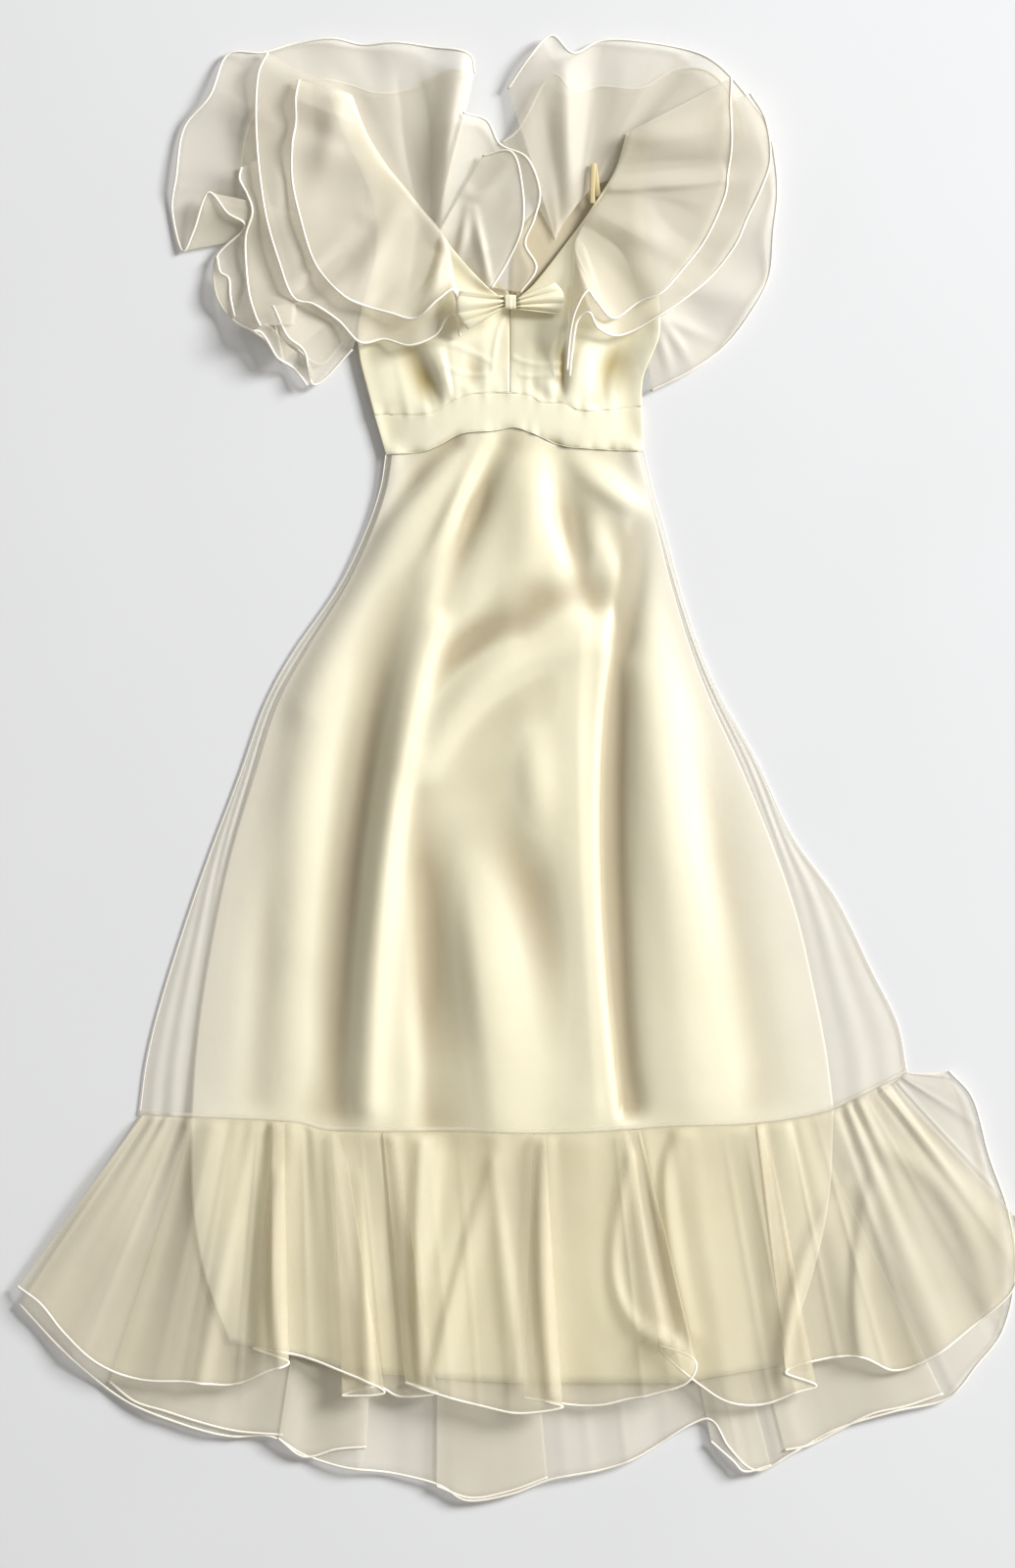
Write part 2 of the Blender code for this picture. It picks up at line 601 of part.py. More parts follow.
def lay_skirt_front(front, back, organza):
    """Sheer skirt: the satin's points moved out, with a margin of organza alone at each side."""
    down = np.linspace(0, 1, SKIRT_DOWN)[None, :, None]
    clear = (SATIN_WALL + ORGANZA_WALL) / 2 + GAP + GATHER_RISE * down ** 3
    inner = front[:, :SKIRT_DOWN] + normals(front)[:, :SKIRT_DOWN] * clear
    edges = back[[0, -1]] + (0, 0, ORGANZA_WALL + GAP)
    edges = edges[edges[:, 0, 0].argsort()]
    points = np.concatenate((edges[:1], inner[inner[:, 0, 0].argsort()], edges[1:]))
    put_down("skirt_front", points, ORGANZA_WALL, organza, settle=False)
    plan, lift, edge = flounce_plan(FLOUNCE_FRONT, points)
    height = drape(plan, lift, ORGANZA_WALL, (0, edge_height(plan, 0, edge)))
    put_down("flounce_front", with_height(plan, height), ORGANZA_WALL, organza, settle=False)
    return points


def band_plan(skirt, step):
    """Plan points of the midriff: its lower edge follows the skirt, its upper edge the bodice."""
    side = from_middle(SKIRT_ACROSS)[::step, 0]
    top_x = np.where(side < 0, -side * BAND_TOP["x"][0], side * BAND_TOP["x"][-1])
    top = np.stack((top_x, np.interp(top_x, BAND_TOP["x"], BAND_TOP["y"]) - SEAM_GAP), axis=-1)
    edge = skirt[skirt[:, 0, 0].argsort(), 0]
    low_x = edge[:, 0]
    if len(low_x) > len(side):
        low_x = np.delete(low_x, (1, -2))
    low = np.stack((low_x, np.interp(low_x, edge[:, 0], edge[:, 1]) + SEAM_GAP), axis=-1)
    return between(top, low, BAND_DOWN), side[:, None], edge


def lay_band_back(skirt, satin):
    plan, side, _ = band_plan(skirt, 2)
    height = np.broadcast_to(SATIN_WALL / 2 + side_rise(side), plan.shape[:2])
    put_down("midriff_back", with_height(plan, height), SATIN_WALL, satin)


def lay_band_front(skirt, satin):
    plan, side, edge = band_plan(skirt, 1)
    relief = np.broadcast_to(SKIRT_PUFF * (1 - side ** 4), plan.shape[:2])
    height = drape(plan, relief, SATIN_WALL, (-1, edge_height(plan, -1, edge)))
    return put_down("midriff_front", with_height(plan, height), SATIN_WALL, satin, settle=False)


def bodice_plan(rows, step, sign):
    """Plan points of one half of the bodice, kept half a seam gap clear of the middle seam."""
    outer = curve(rows, "outer_x", "outer_y", BODICE_DOWN)
    inner = curve(rows, "inner_x", "inner_y", BODICE_DOWN)
    plan = between(outer, inner, BODICE_ACROSS).transpose(1, 0, 2)[::step]
    plan = bend_to_seams(plan, BAND_TOP)
    plan[..., 0] = sign * np.maximum(sign * plan[..., 0], SEAM_GAP / 2)
    return plan, np.linspace(1, 0, BODICE_ACROSS)[::step, None]


def lay_bodice_backs(satin):
    for name, rows, sign in (("bodice_back_left", BACK_LEFT, -1), ("bodice_back_right", BACK_RIGHT, 1)):
        plan, side = bodice_plan(rows, 2, sign)
        height = np.broadcast_to(SATIN_WALL / 2 + side_rise(side), plan.shape[:2])
        put_down(name, with_height(plan, height), SATIN_WALL, satin)


def lay_bodice_fronts(band, satin):
    halves_of_front = (("bodice_front_left", BODICE_LEFT, -1), ("bodice_front_right", BODICE_RIGHT, 1))
    for name, rows, sign in halves_of_front:
        plan, side = bodice_plan(rows, 1, sign)
        up = np.linspace(0, 1, BODICE_DOWN)[None, :]
        bust = BUST_PUFF * (1 - side ** 4) * (0.55 + 0.45 * np.sin(np.pi * side))
        relief = bust * np.interp(up, BUST_HEIGHTS, BUST_SHARES) + folds(plan, BODICE_FOLDS)
        height = drape(plan, np.maximum(relief, 0), SATIN_WALL, (0, edge_height(plan, 0, band[:, 0])))
        put_down(name, with_height(plan, height), SATIN_WALL, satin, settle=False)


def lay_hanger(satin):
    """A ribbon that runs up, folds over itself and comes down again."""
    path = np.stack([smooth(HANGER[name], RIBBON_POINTS) for name in ("x", "y", "rise")], axis=-1)
    half = np.array((RIBBON_WIDTH / 2, 0, 0))
    points = np.stack((path - half, path, path + half))
    points[..., 2] += ground[map_cells(points[..., :2])].max() + RIBBON_WALL
    put_down("hanger_loop", points, RIBBON_WALL, satin)
    done()


def lay_bow(satin):
    """Two pleated loops, each a strip that runs out and back, pinched under a small knot."""
    side = np.linspace(-1, 1, BOW_ACROSS)[:, None]
    turn = np.linspace(0, 1, BOW_TURN)[None, :]
    out = np.sin(np.pi * turn) ** 0.7
    up = np.where(turn < 0.5, 4 * turn ** 3, 1 - 4 * (1 - turn) ** 3)
    names = ("bow_left", "bow_right")
    for name, x, y, end_x, end_y, knot_width, end_width, height in zip(names, *BOW.values()):
        way = np.array((end_x - x, end_y - y))
        across = np.array((-way[1], way[0])) / np.hypot(*way)
        half = side * (knot_width + (end_width - knot_width) * out) / 2
        plan = np.array((x, y)) + out[..., None] * way + half[..., None] * across
        pleats = PLEAT_DEPTH * np.cos(2 * np.pi * BOW_PLEATS * side) * (1 - 0.6 * out) * up
        rise = height * up * (0.6 + 0.4 * out) * (1 - 0.35 * side ** 2) + pleats
        base = ground[map_cells(plan)].max() + SATIN_WALL
        put_down(name, with_height(plan, base + rise), SATIN_WALL, satin)
    done()


def lay_knot(satin):
    """The wrap that holds the bow, a small block with rounded edges."""
    x, y, width, length, height = (value[0] for value in KNOT.values())
    bpy.ops.mesh.primitive_cube_add(size=1, location=(0, 0, 0))
    knot = bpy.context.object
    knot.name = "bow_knot"
    step = (-1, 0, 1)
    spots = np.array([[x + a * width / 2, y + b * length / 2] for a in step for b in step])
    base = ground[map_cells(spots)].max() + GAP
    for corner in knot.data.vertices:
        corner.co.x = x + corner.co.x * width
        corner.co.y = y + corner.co.y * length
        corner.co.z = base + (corner.co.z + 0.5) * height
    corners = knot.modifiers.new("corners", "BEVEL")
    corners.width = KNOT_CORNER
    corners.segments = 3
    knot.data.shade_smooth()
    knot.data.materials.append(satin)
    places, faces = shape_of(knot)
    drop = room_below(places, faces)
    for corner in knot.data.vertices:
        corner.co.z -= drop
    laid.append(BVHTree.FromPolygons((places - (0, 0, drop)).tolist(), faces))


def main():
    for old in list(bpy.data.objects):
        bpy.data.objects.remove(old)
    satin = finish("ivory satin", (0.83, 0.78, 0.62), 0.38, 0.2)
    organza = finish("sheer organza", (0.80, 0.77, 0.70), 0.6, 0.4)
    skirt_back = lay_skirt_back(organza)
    lay_band_back(skirt_back, satin)
    lay_bodice_backs(satin)
    done()
    lay_ruffle("ruffle_upper_back_right", UPPER_BACK_RIGHT, organza)
    lay_ruffle("ruffle_lower_back_right", LOWER_BACK_RIGHT, organza)
    lay_ruffle("ruffle_upper_back_left", UPPER_BACK_LEFT, organza)
    lay_ruffle("ruffle_lower_back_left", LOWER_BACK_LEFT, organza)
    lay_ruffle("ruffle_lower_inner_left", INNER_LONG, organza)
    lay_ruffle("ruffle_upper_inner_left", INNER_SHORT, organza)
    lay_hanger(satin)
    skirt_front = lay_skirt_front(lay_underskirt(satin), skirt_back, organza)
    band = lay_band_front(skirt_front, satin)
    lay_bodice_fronts(band, satin)
    done()
    lay_ruffle("ruffle_lower_front_right", LOWER_FRONT_RIGHT, organza)
    lay_ruffle("ruffle_upper_front_right", UPPER_FRONT_RIGHT, organza)
    lay_ruffle("ruffle_lower_front_left", LOWER_FRONT_LEFT, organza)
    lay_ruffle("ruffle_upper_front_left", UPPER_FRONT_LEFT, organza)
    lay_bow(satin)
    lay_knot(satin)


if __name__ == "__main__":
    main()
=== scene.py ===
# %% [markdown]
# # An ivory evening gown, laid out flat
#
# The gown lies on its back: a satin bodice and midriff, a satin underskirt, a sheer organza skirt over
# it with a gathered flounce, a two-tier organza ruffle round the neck and a satin bow. Cloth that has
# been laid down keeps the order in which it was laid, so this lesson builds the gown the same way, from
# the table up: the back pieces first, the bow last. Every piece is a grid of points with a thin wall.
#
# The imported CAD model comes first. It fixes the size and place of every piece, and each sheet of cloth
# made below takes the place of one of its solids.

import bpy
import numpy as np
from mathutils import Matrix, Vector


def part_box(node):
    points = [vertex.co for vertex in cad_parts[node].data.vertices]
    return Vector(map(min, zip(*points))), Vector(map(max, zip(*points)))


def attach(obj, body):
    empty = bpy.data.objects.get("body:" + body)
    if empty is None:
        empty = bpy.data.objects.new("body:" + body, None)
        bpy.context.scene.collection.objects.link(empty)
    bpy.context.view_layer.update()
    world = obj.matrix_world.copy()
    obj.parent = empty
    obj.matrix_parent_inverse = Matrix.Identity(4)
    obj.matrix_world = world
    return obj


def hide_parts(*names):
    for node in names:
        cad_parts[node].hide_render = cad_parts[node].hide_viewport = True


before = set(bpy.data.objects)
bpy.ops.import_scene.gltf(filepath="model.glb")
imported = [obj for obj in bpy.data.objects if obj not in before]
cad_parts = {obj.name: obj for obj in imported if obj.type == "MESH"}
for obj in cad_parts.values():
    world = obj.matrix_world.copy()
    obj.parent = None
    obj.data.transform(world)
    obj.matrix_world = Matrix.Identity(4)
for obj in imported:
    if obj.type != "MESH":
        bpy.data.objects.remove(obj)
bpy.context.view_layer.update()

# %% [markdown]
# ## Sizes
#
# A dressmaker works from a few sizes and a pattern. Here the sizes are millimetres in short tables, one
# row for each pattern point or fold, and a function turns them into named columns in metres. X runs to
# the right of the laid-out gown, Y towards the neck and Z up from the table; left and right are as seen
# from above. The real cloths are about a third of a millimetre thick. The walls here are a little
# thicker, and each piece is given the room of the solid that it replaces, so that nothing cuts through
# what it lies on.

# %% Sizes of the cloth
MM = 0.001
SATIN_WALL = 0.8 * MM
ORGANZA_WALL = 0.5 * MM
SATIN_ROOM = 1.4 * MM
ORGANZA_ROOM = 1.2 * MM
GAP = 0.3 * MM
SEAM_GAP = 0.1 * MM


def table(columns, *rows):
    """Rows of millimetres as named columns of metres."""
    return {name: MM * np.array(column, float) for name, column in zip(columns.split(), zip(*rows))}


print("walls: satin", round(SATIN_WALL * 1000, 1), "mm, organza", round(ORGANZA_WALL * 1000, 1), "mm")

# %% [markdown]
# ## Smooth lines
#
# A dressmaker marks a few points of a pattern and bends a thin ruler through them. The first function is
# that ruler: a smooth line passes through every given value, so a table with few rows is enough. Cloth
# laid down by hand is never even, so the last function makes hills and dips that all differ a little.
# Its dice start from a fixed seed, so the gown comes out the same each time.

# %% Smooth lines
def smooth(values, count):
    """Evenly spaced values of a smooth curve that passes through the given ones."""
    place = np.linspace(0, len(values) - 1, count)
    index = np.minimum(place.astype(int), len(values) - 2)
    part = place - index
    padded = np.concatenate(([2 * values[0] - values[1]], values, [2 * values[-1] - values[-2]]))
    a, b, c, d = (padded[index + shift] for shift in range(4))
    return b + 0.5 * part * (c - a + part * (2 * a - 5 * b + 4 * c - d + part * (3 * (b - c) + d - a)))


def curve(rows, first, second, count):
    """Two columns of a table as a smooth line of plan points."""
    return np.stack((smooth(rows[first], count), smooth(rows[second], count)), axis=-1)


def between(start, end, shares):
    """A grid of plan points on straight lines from start to end."""
    share = np.asarray(shares)[None, :, None]
    return start[:, None] * (1 - share) + end[:, None] * share


def uneven(length, step, seed):
    """A smooth curve of hills and dips, about a step apart and never quite alike, from -1 to 1."""
    dice = np.random.default_rng(seed)
    knots = dice.uniform(-1, 1, max(4, int(length / step) + 2))
    return lambda places: np.interp(
        places, np.linspace(0, length, 8 * len(knots)), smooth(knots, 8 * len(knots))
    )


print("a smooth line through 0, 1, 0:", smooth(np.array((0.0, 1.0, 0.0)), 5).round(2).tolist())

# %% [markdown]
# ## The pattern
#
# Four seams run across the gown: above and below the arched midriff, and where the flounce joins the
# skirt. The skirts are A-line panels, so a row for each level with its left and right half widths is
# enough. The satin underskirt is a little narrower than the sheer skirt over it, which is why a margin
# of organza alone shows down each side, and it has a tail under the flounce.

# %% Seams and skirt panels
BAND_TOP = table(
    "x y",
    (-159, 7), (-96, 8), (-68, 22), (-40, 31), (16, 31), (40, 21), (62, 20), (88, 11), (155, 17),
)
BAND_BOTTOM = table(
    "x y",
    (-145, -39), (-104, -36), (-82, -28), (-56, -15), (-20, -12), (5, -8), (30, -16), (58, -28),
    (86, -32), (157, -35),
)
FLOUNCE_SEAM = table(
    "x y",
    (-434, -813), (-361, -816), (-254, -821), (-205, -831), (-61, -832), (62, -834), (197, -826),
    (286, -823), (363, -811), (437, -784), (466, -764),
)

# Outline of the sheer skirt: a row for each level down to the flounce seam
SKIRT = table(
    "y left right",
    (-38, 145, 157), (-80, 152, 167), (-132, 170, 182), (-195, 201, 198), (-270, 253, 221),
    (-333, 287, 247), (-414, 316, 290), (-506, 351, 331), (-586, 379, 383), (-678, 408, 425),
    (-747, 425, 455), (-813, 434, 466),
)
# Outline of the satin underskirt: the same levels, then its tail beneath the flounce
UNDERSKIRT = table(
    "y left right",
    (-38, 138, 150), (-80, 145, 160), (-132, 163, 174), (-195, 193, 190), (-270, 240, 213),
    (-333, 274, 237), (-414, 300, 274), (-506, 328, 311), (-586, 346, 338), (-678, 362, 359),
    (-747, 370, 372), (-813, 374, 380),
)
TAIL = table("y left right", (-813, 374, 380), (-920, 372, 374), (-1020, 358, 352), (-1127, 328, 317))


def rounded(seam):
    """The same seam as a smooth curve through its points."""
    return {name: smooth(values, 12 * len(values)) for name, values in seam.items()}


BAND_TOP, BAND_BOTTOM, FLOUNCE_SEAM = rounded(BAND_TOP), rounded(BAND_BOTTOM), rounded(FLOUNCE_SEAM)
widest = float(SKIRT["left"][-1] + SKIRT["right"][-1])
print("skirt", len(SKIRT["y"]), "levels; widest", round(widest, 3), "m")

# %% [markdown]
# ## A map of what lies already
#
# Laying cloth on cloth is the heart of this gown. A cloth simulation could settle the pieces, but
# twenty-five thin sheets on top of each other are slow and rarely stay apart. Instead the table is
# covered by a fine map of heights. A sheet that is laid down asks the map how high the cloth under each
# of its points lies and rises there. Then it is drawn into the map itself, for the sheets above.

# %% The map of heights
CELL = 2.5 * MM
CELLS = (560, 800)
WEST = -700 * MM
SOUTH = -1400 * MM
EMPTY = 0.1 * MM
TINY = 1e-8
ground = np.zeros(CELLS)


def widened(heights):
    """Heights carried one cell sideways and then softened, so that no step is missed."""
    for axis in (0, 1):
        heights = np.maximum(heights, np.maximum(np.roll(heights, 1, axis), np.roll(heights, -1, axis)))
    for axis in (0, 1):
        heights = (heights * 2 + np.roll(heights, 1, axis) + np.roll(heights, -1, axis)) / 4
    return heights


def read(heights, plan):
    """Height of the map at each plan point, mixed from the four cells round it."""
    x = (plan[..., 0] - WEST) / CELL - 0.5
    y = (plan[..., 1] - SOUTH) / CELL - 0.5
    i, j = x.astype(int), y.astype(int)
    a, b = x - i, y - j
    lower = heights[i, j] * (1 - a) + heights[i + 1, j] * a
    upper = heights[i, j + 1] * (1 - a) + heights[i + 1, j + 1] * a
    return lower * (1 - b) + upper * b


print("map of", ground.size, "cells,", round(CELL * 1000, 1), "mm each")

# %% [markdown]
# ## Drawing a sheet into the map
#
# Once a sheet lies, the next ones have to lie on it. Each of its faces is filled with spots closer
# together than the cells, so none is missed, and a cell keeps the highest spot. Pieces that meet at a
# seam lie beside each other and not on each other. They wait until all of them are made, and are then
# drawn in together.

# %% Into the map
def draw_in(points, room):
    """Draws a sheet into the map, with enough spots on each face that no cell of the map is missed."""
    widest = max(np.abs(np.diff(points[..., :2], axis=axis)).max() for axis in (0, 1))
    spots = int(np.ceil(widest / CELL)) + 1
    steps = (np.arange(spots) + 0.5) / spots
    near, far = points[:, :-1], points[:, 1:]
    for a in steps:
        for b in steps:
            row = near * (1 - b) + far * b
            spot = row[:-1] * (1 - a) + row[1:] * a
            i = ((spot[..., 0] - WEST) / CELL).astype(int)
            j = ((spot[..., 1] - SOUTH) / CELL).astype(int)
            np.maximum.at(ground, (i, j), spot[..., 2] + room / 2)


waiting = []


def wait(points, room):
    """Neighbours that meet at a seam go into the map together, once all of them lie."""
    waiting.append((points, room))


def done():
    """All that waited goes into the map."""
    for points, room in waiting:
        draw_in(points, room)
    waiting.clear()


print("cells covered so far:", int((ground > 0).sum()))

# %% [markdown]
# ## Letting a sheet settle
#
# A sheet has a shape of its own, its relief. Where the cloth under it is higher than that, the sheet is
# lifted, and averaging each point with its neighbours lets the lift fade over the cloth round it, as in
# a taut sheet. An edge that is sewn to an earlier piece is brought to the height of that piece's edge,
# so that the seam stays shut.

# %% Settling
def averaged(values):
    """Each value of a grid replaced by the mean of its four neighbours."""
    wide = np.pad(values, 1, mode="edge")
    return (wide[2:, 1:-1] + wide[:-2, 1:-1] + wide[1:-1, 2:] + wide[1:-1, :-2]) / 4


def settle(plan, relief, room, rounds=60, last=4):
    """Heights of a sheet with its own relief, lifted where the pieces under it lift it."""
    under = read(widened(ground), plan)
    need = np.where(under > EMPTY, under + GAP, 0) + room / 2 - relief
    raised = np.maximum(need, 0)
    for _ in range(rounds):
        raised = np.maximum(averaged(raised), need)
    for _ in range(last):
        raised = averaged(raised)
    return relief + raised


def blend_edge(height, edge, wanted):
    """Brings one edge of a sheet to the wanted heights, and the rest of it less and less."""
    share = np.linspace(0, 1, height.shape[1])[None, :]
    weight = (1 - share) ** 6 if edge == 0 else share ** 6
    return height + weight * (wanted - height[:, edge])[:, None]


def edge_height(plan, edge, neighbour):
    """Heights of the neighbour's edge beside this edge of the plan."""
    order = neighbour[:, 0].argsort()
    return np.interp(plan[:, edge, 0], neighbour[order, 0], neighbour[order, 2])


def with_height(plan, height):
    """Plan points and their heights as one grid of points."""
    return np.concatenate((plan, height[..., None]), axis=-1)


bare = settle(np.zeros((2, 2, 2)), 0, ORGANZA_ROOM)
print("on the bare table organza lies", round(float(bare.max()) * 1000, 2), "mm up")

# %% [markdown]
# ## Folds along curves
#
# A soft fold is a hill or dip that follows a curve. Three points give the curve, and its two flanks may
# differ: a fold that has just been pushed over is steep on one side. Ridges have positive heights and
# troughs negative ones. The same function presses darts, facings and creases into the cloth.

# %% Fold maker
FOLD_COLUMNS = "x0 y0 x1 y1 x2 y2 west east first middle last"
FOLD_STEPS = 18
RUMPLE_SPAN = 2.4


def through(start, middle, end, step):
    """Values at each step of the smooth curve through three values."""
    rest = 1 - step
    return start * rest * (1 - 2 * step) + middle * 4 * step * rest + end * step * (2 * step - 1)


def folds(plan, rows):
    """Height of ridges and troughs. west and east are the half widths left and right of a curve."""
    height = np.zeros(plan.shape[:2])
    step = np.linspace(0, 1, FOLD_STEPS)
    for x0, y0, x1, y1, x2, y2, west, east, first, middle, last in zip(*rows.values()):
        path = np.stack((through(x0, x1, x2, step), through(y0, y1, y2, step)), axis=-1)
        way = np.diff(path, axis=0)
        off = plan[:, :, None] - path[:-1]
        part = np.clip((off * way).sum(axis=-1) / (way * way).sum(axis=-1), 0, 1)
        off = off - part[..., None] * way
        away = np.hypot(off[..., 0], off[..., 1])
        nearest = away.argmin(axis=-1)[..., None]
        off = np.take_along_axis(off, nearest[..., None], axis=2)[:, :, 0]
        place = (nearest + np.take_along_axis(part, nearest, axis=2))[..., 0] / (FOLD_STEPS - 1)
        side = off[..., 1] if abs(x2 - x0) > abs(y2 - y0) else off[..., 0]
        reach = away.min(axis=-1)
        width = west + (east - west) * (0.5 + 0.5 * np.clip(side / np.maximum(reach, EMPTY), -1, 1))
        eased = 0.5 - 0.5 * np.cos(np.pi * place)
        height += np.exp(-(reach / width) ** 2) * through(first, middle, last, eased)
    return height


def above_zero(relief, soft=3 * MM):
    """Keeps a relief above zero with a soft turn instead of a hard edge."""
    return (relief + np.sqrt(relief ** 2 + soft ** 2)) / 2


def rumples(plan, seed, size, depth):
    """Slow, soft hills and dips all over a piece."""
    across = uneven(RUMPLE_SPAN, size, seed)
    along = uneven(RUMPLE_SPAN, size, seed + 1)
    lean = uneven(RUMPLE_SPAN, size * 1.3, seed + 2)
    x, y = plan[..., 0] + 0.8, plan[..., 1] + 1.5
    return depth * (across(x + 0.4 * y) * along(y) + 0.6 * lean(x * 0.8 + y * 0.7)) / 1.6


print("each fold is measured at", FOLD_STEPS, "places along its curve")

# %% [markdown]
# ## Colours and nodes
#
# Colours are written as the sRGB hex values that a colour picker shows, and one function turns them
# into the linear values that light is reckoned in. The others add a node with its settings and links,
# or a mix of two colours, so that each material below reads as a short list.

# %% Colour and node helpers
def rgb(code):
    """A hex colour as linear red, green and blue, and full alpha."""
    parts = [int(code[i:i + 2], 16) / 255 for i in (1, 3, 5)]
    return tuple(p / 12.92 if p <= 0.04045 else ((p + 0.055) / 1.055) ** 2.4 for p in parts) + (1.0,)


def node(tree, kind, settings=None, values=None, links=None):
    """Adds a node: settings are its properties, values its sockets, links what feeds them."""
    added = tree.nodes.new("ShaderNode" + kind)
    for key, value in (settings or {}).items():
        setattr(added, key, value)
    for key, value in (values or {}).items():
        added.inputs[key].default_value = value
    for key, source in (links or {}).items():
        tree.links.new(source, added.inputs[key])
    return added


def mixed(tree, share, first, second):
    """Two colours mixed by a share. Each is a hex code or the colour from another node."""
    mix = node(tree, "Mix", {"data_type": "RGBA"}, links={0: share})
    for socket, colour in ((6, first), (7, second)):
        if isinstance(colour, str):
            mix.inputs[socket].default_value = rgb(colour)
        else:
            tree.links.new(colour, mix.inputs[socket])
    return mix.outputs[2]


def new_cloth_finish(name, colour, values):
    """A material with its Principled shader set, ready for pattern nodes."""
    made = bpy.data.materials.new(name)
    made.use_nodes = True
    shader = made.node_tree.nodes["Principled BSDF"]
    shader.inputs["Base Color"].default_value = rgb(colour)
    for key, value in values.items():
        shader.inputs[key].default_value = value
    made.diffuse_color = rgb(colour)
    return made, made.node_tree, shader


print("the pale middle grey #BCBCBC is", round(rgb("#BCBCBC")[0], 2), "of white in linear light")

# %% [markdown]
# ## Bridal satin
#
# The bodice, midriff, underskirt and bow are acetate bridal satin. Most of its warp threads float on
# the face, so it is smooth, with a broad soft shine that runs along the folds, and a slight bloom. Deep
# in a fold the light bounces from cloth to cloth several times and comes out a warm tan, and here that
# shade is painted into the colour: a number stored on each point says how far it lies below the cloth
# round it, and the colour there is darkened towards tan as painted shade. A second number, pale,
# paints the underskirt lighter towards its sides, where less warm light comes back from the cloth under
# it: painted light.

# %% Satin colour
SATIN_CLOUDS = 8  # tinted patches in a metre
# Painted shade: share of the fold colour at the bottom of a fold
FOLD_SHADE = 0.9
# Painted light: the colour that the underskirt is lightened towards at its sides
PAINTED_SIDE_LIGHT = "#EDE8DA"


def satin_colour(tree, spot, light, dark, painted_fold_shade):
    """A cloudy tint, with painted shade deep in the folds and painted light where marked pale."""
    clouds = node(tree, "TexNoise", values={"Scale": SATIN_CLOUDS, "Detail": 3}, links={"Vector": spot})
    tint = mixed(tree, clouds.outputs["Fac"], light, dark)
    # Painted shade: the colour turns towards the fold colour where the point lies deep
    depth = node(tree, "Attribute", {"attribute_name": "painted_fold_shade"})
    shade = node(
        tree, "MapRange", values={"From Min": 0.0, "From Max": 1.0, "To Max": FOLD_SHADE},
        links={"Value": depth.outputs["Fac"]},
    )
    deep = mixed(tree, shade.outputs["Result"], tint, painted_fold_shade)
    # Painted light: lighter towards a pale colour where the piece is marked pale
    edge = node(tree, "Attribute", {"attribute_name": "pale"})
    return mixed(tree, edge.outputs["Fac"], deep, PAINTED_SIDE_LIGHT)


print("deep in a fold", round(FOLD_SHADE * 100), "% of the colour is the hollow's own")

# %% [markdown]
# ## Satin threads
#
# The floating threads of satin lie side by side, all one way, and give it its grain. They are 0.15 mm
# apart, too fine for a picture of the whole gown, so the weave is drawn four times as coarse and very
# faint: a noise that is stretched along the threads varies the gloss and the surface a little. Under it
# lie the soft small wrinkles of cloth that has been handled.

# %% Satin threads
FLOAT_WIDTH = 0.6 * MM
FLOAT_LENGTH = 6 * MM
SATIN_WRINKLES = 26  # soft wrinkles in a metre


def satin_threads(tree, spot):
    """Roughness and surface direction from fine threads with soft wrinkles under them."""
    floats = node(
        tree, "Mapping", values={"Scale": (1 / FLOAT_WIDTH, 1 / FLOAT_LENGTH, 1 / FLOAT_LENGTH)},
        links={"Vector": spot},
    )
    threads = node(tree, "TexNoise", values={"Scale": 1, "Detail": 1}, links={"Vector": floats.outputs[0]})
    gloss = node(
        tree, "MapRange", values={"To Min": 0.36, "To Max": 0.48}, links={"Value": threads.outputs["Fac"]}
    )
    wrinkles = node(
        tree, "TexNoise", values={"Scale": SATIN_WRINKLES, "Detail": 3, "Distortion": 0.6},
        links={"Vector": spot},
    )
    soft = node(
        tree, "Bump", values={"Strength": 0.35, "Distance": 1.6 * MM},
        links={"Height": wrinkles.outputs["Fac"]},
    )
    weave = node(
        tree, "Bump", values={"Strength": 0.06, "Distance": 0.2 * MM},
        links={"Height": threads.outputs["Fac"], "Normal": soft.outputs["Normal"]},
    )
    return gloss.outputs["Result"], weave.outputs["Normal"]


print("drawn threads:", round(FLOAT_WIDTH * 1000, 1), "mm wide and", round(FLOAT_LENGTH * 1000), "mm long")

# %% [markdown]
# ## The satins of this gown
#
# All satin of the gown is one cloth, but it doesn't look the same everywhere. The underskirt is seen
# through organza, and the inside of the back lies in the shadow of the neck, so it gets a darker copy
# of the satin as painted shade. Each gets three colours: in the light, as a tint, and deep in a fold,
# the last one painted shade.

# %% Satin
def make_satin(name, light, dark, painted_fold_shade):
    """A finished satin from its colour in the light, its tint and the painted shade deep in a fold."""
    values = {
        "Roughness": 0.42, "Specular IOR Level": 0.6, "Coat Weight": 0.12, "Coat Roughness": 0.4,
        "Sheen Weight": 0.1, "Sheen Roughness": 0.35,
    }
    made, tree, shader = new_cloth_finish(name, light, values)
    shader.inputs["Sheen Tint"].default_value = rgb("#FFF6DC")
    spot = node(tree, "TexCoord").outputs["Object"]
    tree.links.new(satin_colour(tree, spot, light, dark, painted_fold_shade), shader.inputs["Base Color"])
    roughness, surface = satin_threads(tree, spot)
    tree.links.new(roughness, shader.inputs["Roughness"])
    tree.links.new(surface, shader.inputs["Normal"])
    return made


# A darker copy of the satin: painted shade for the inside of the back, in the shadow of the neck
shaded_inside_satin = make_satin("satin inside the bodice in painted shade", "#D8CDB2", "#C8BA98", "#9A8A66")
satin = make_satin("ivory bridal satin", "#FBF6DE", "#F3EBC9", "#AC9650")
lining_satin = make_satin("ivory bridal satin of the underskirt", "#F9F4D8", "#F0E9C5", "#A68F45")
print("satin finishes:", satin.name, "and", lining_satin.name)

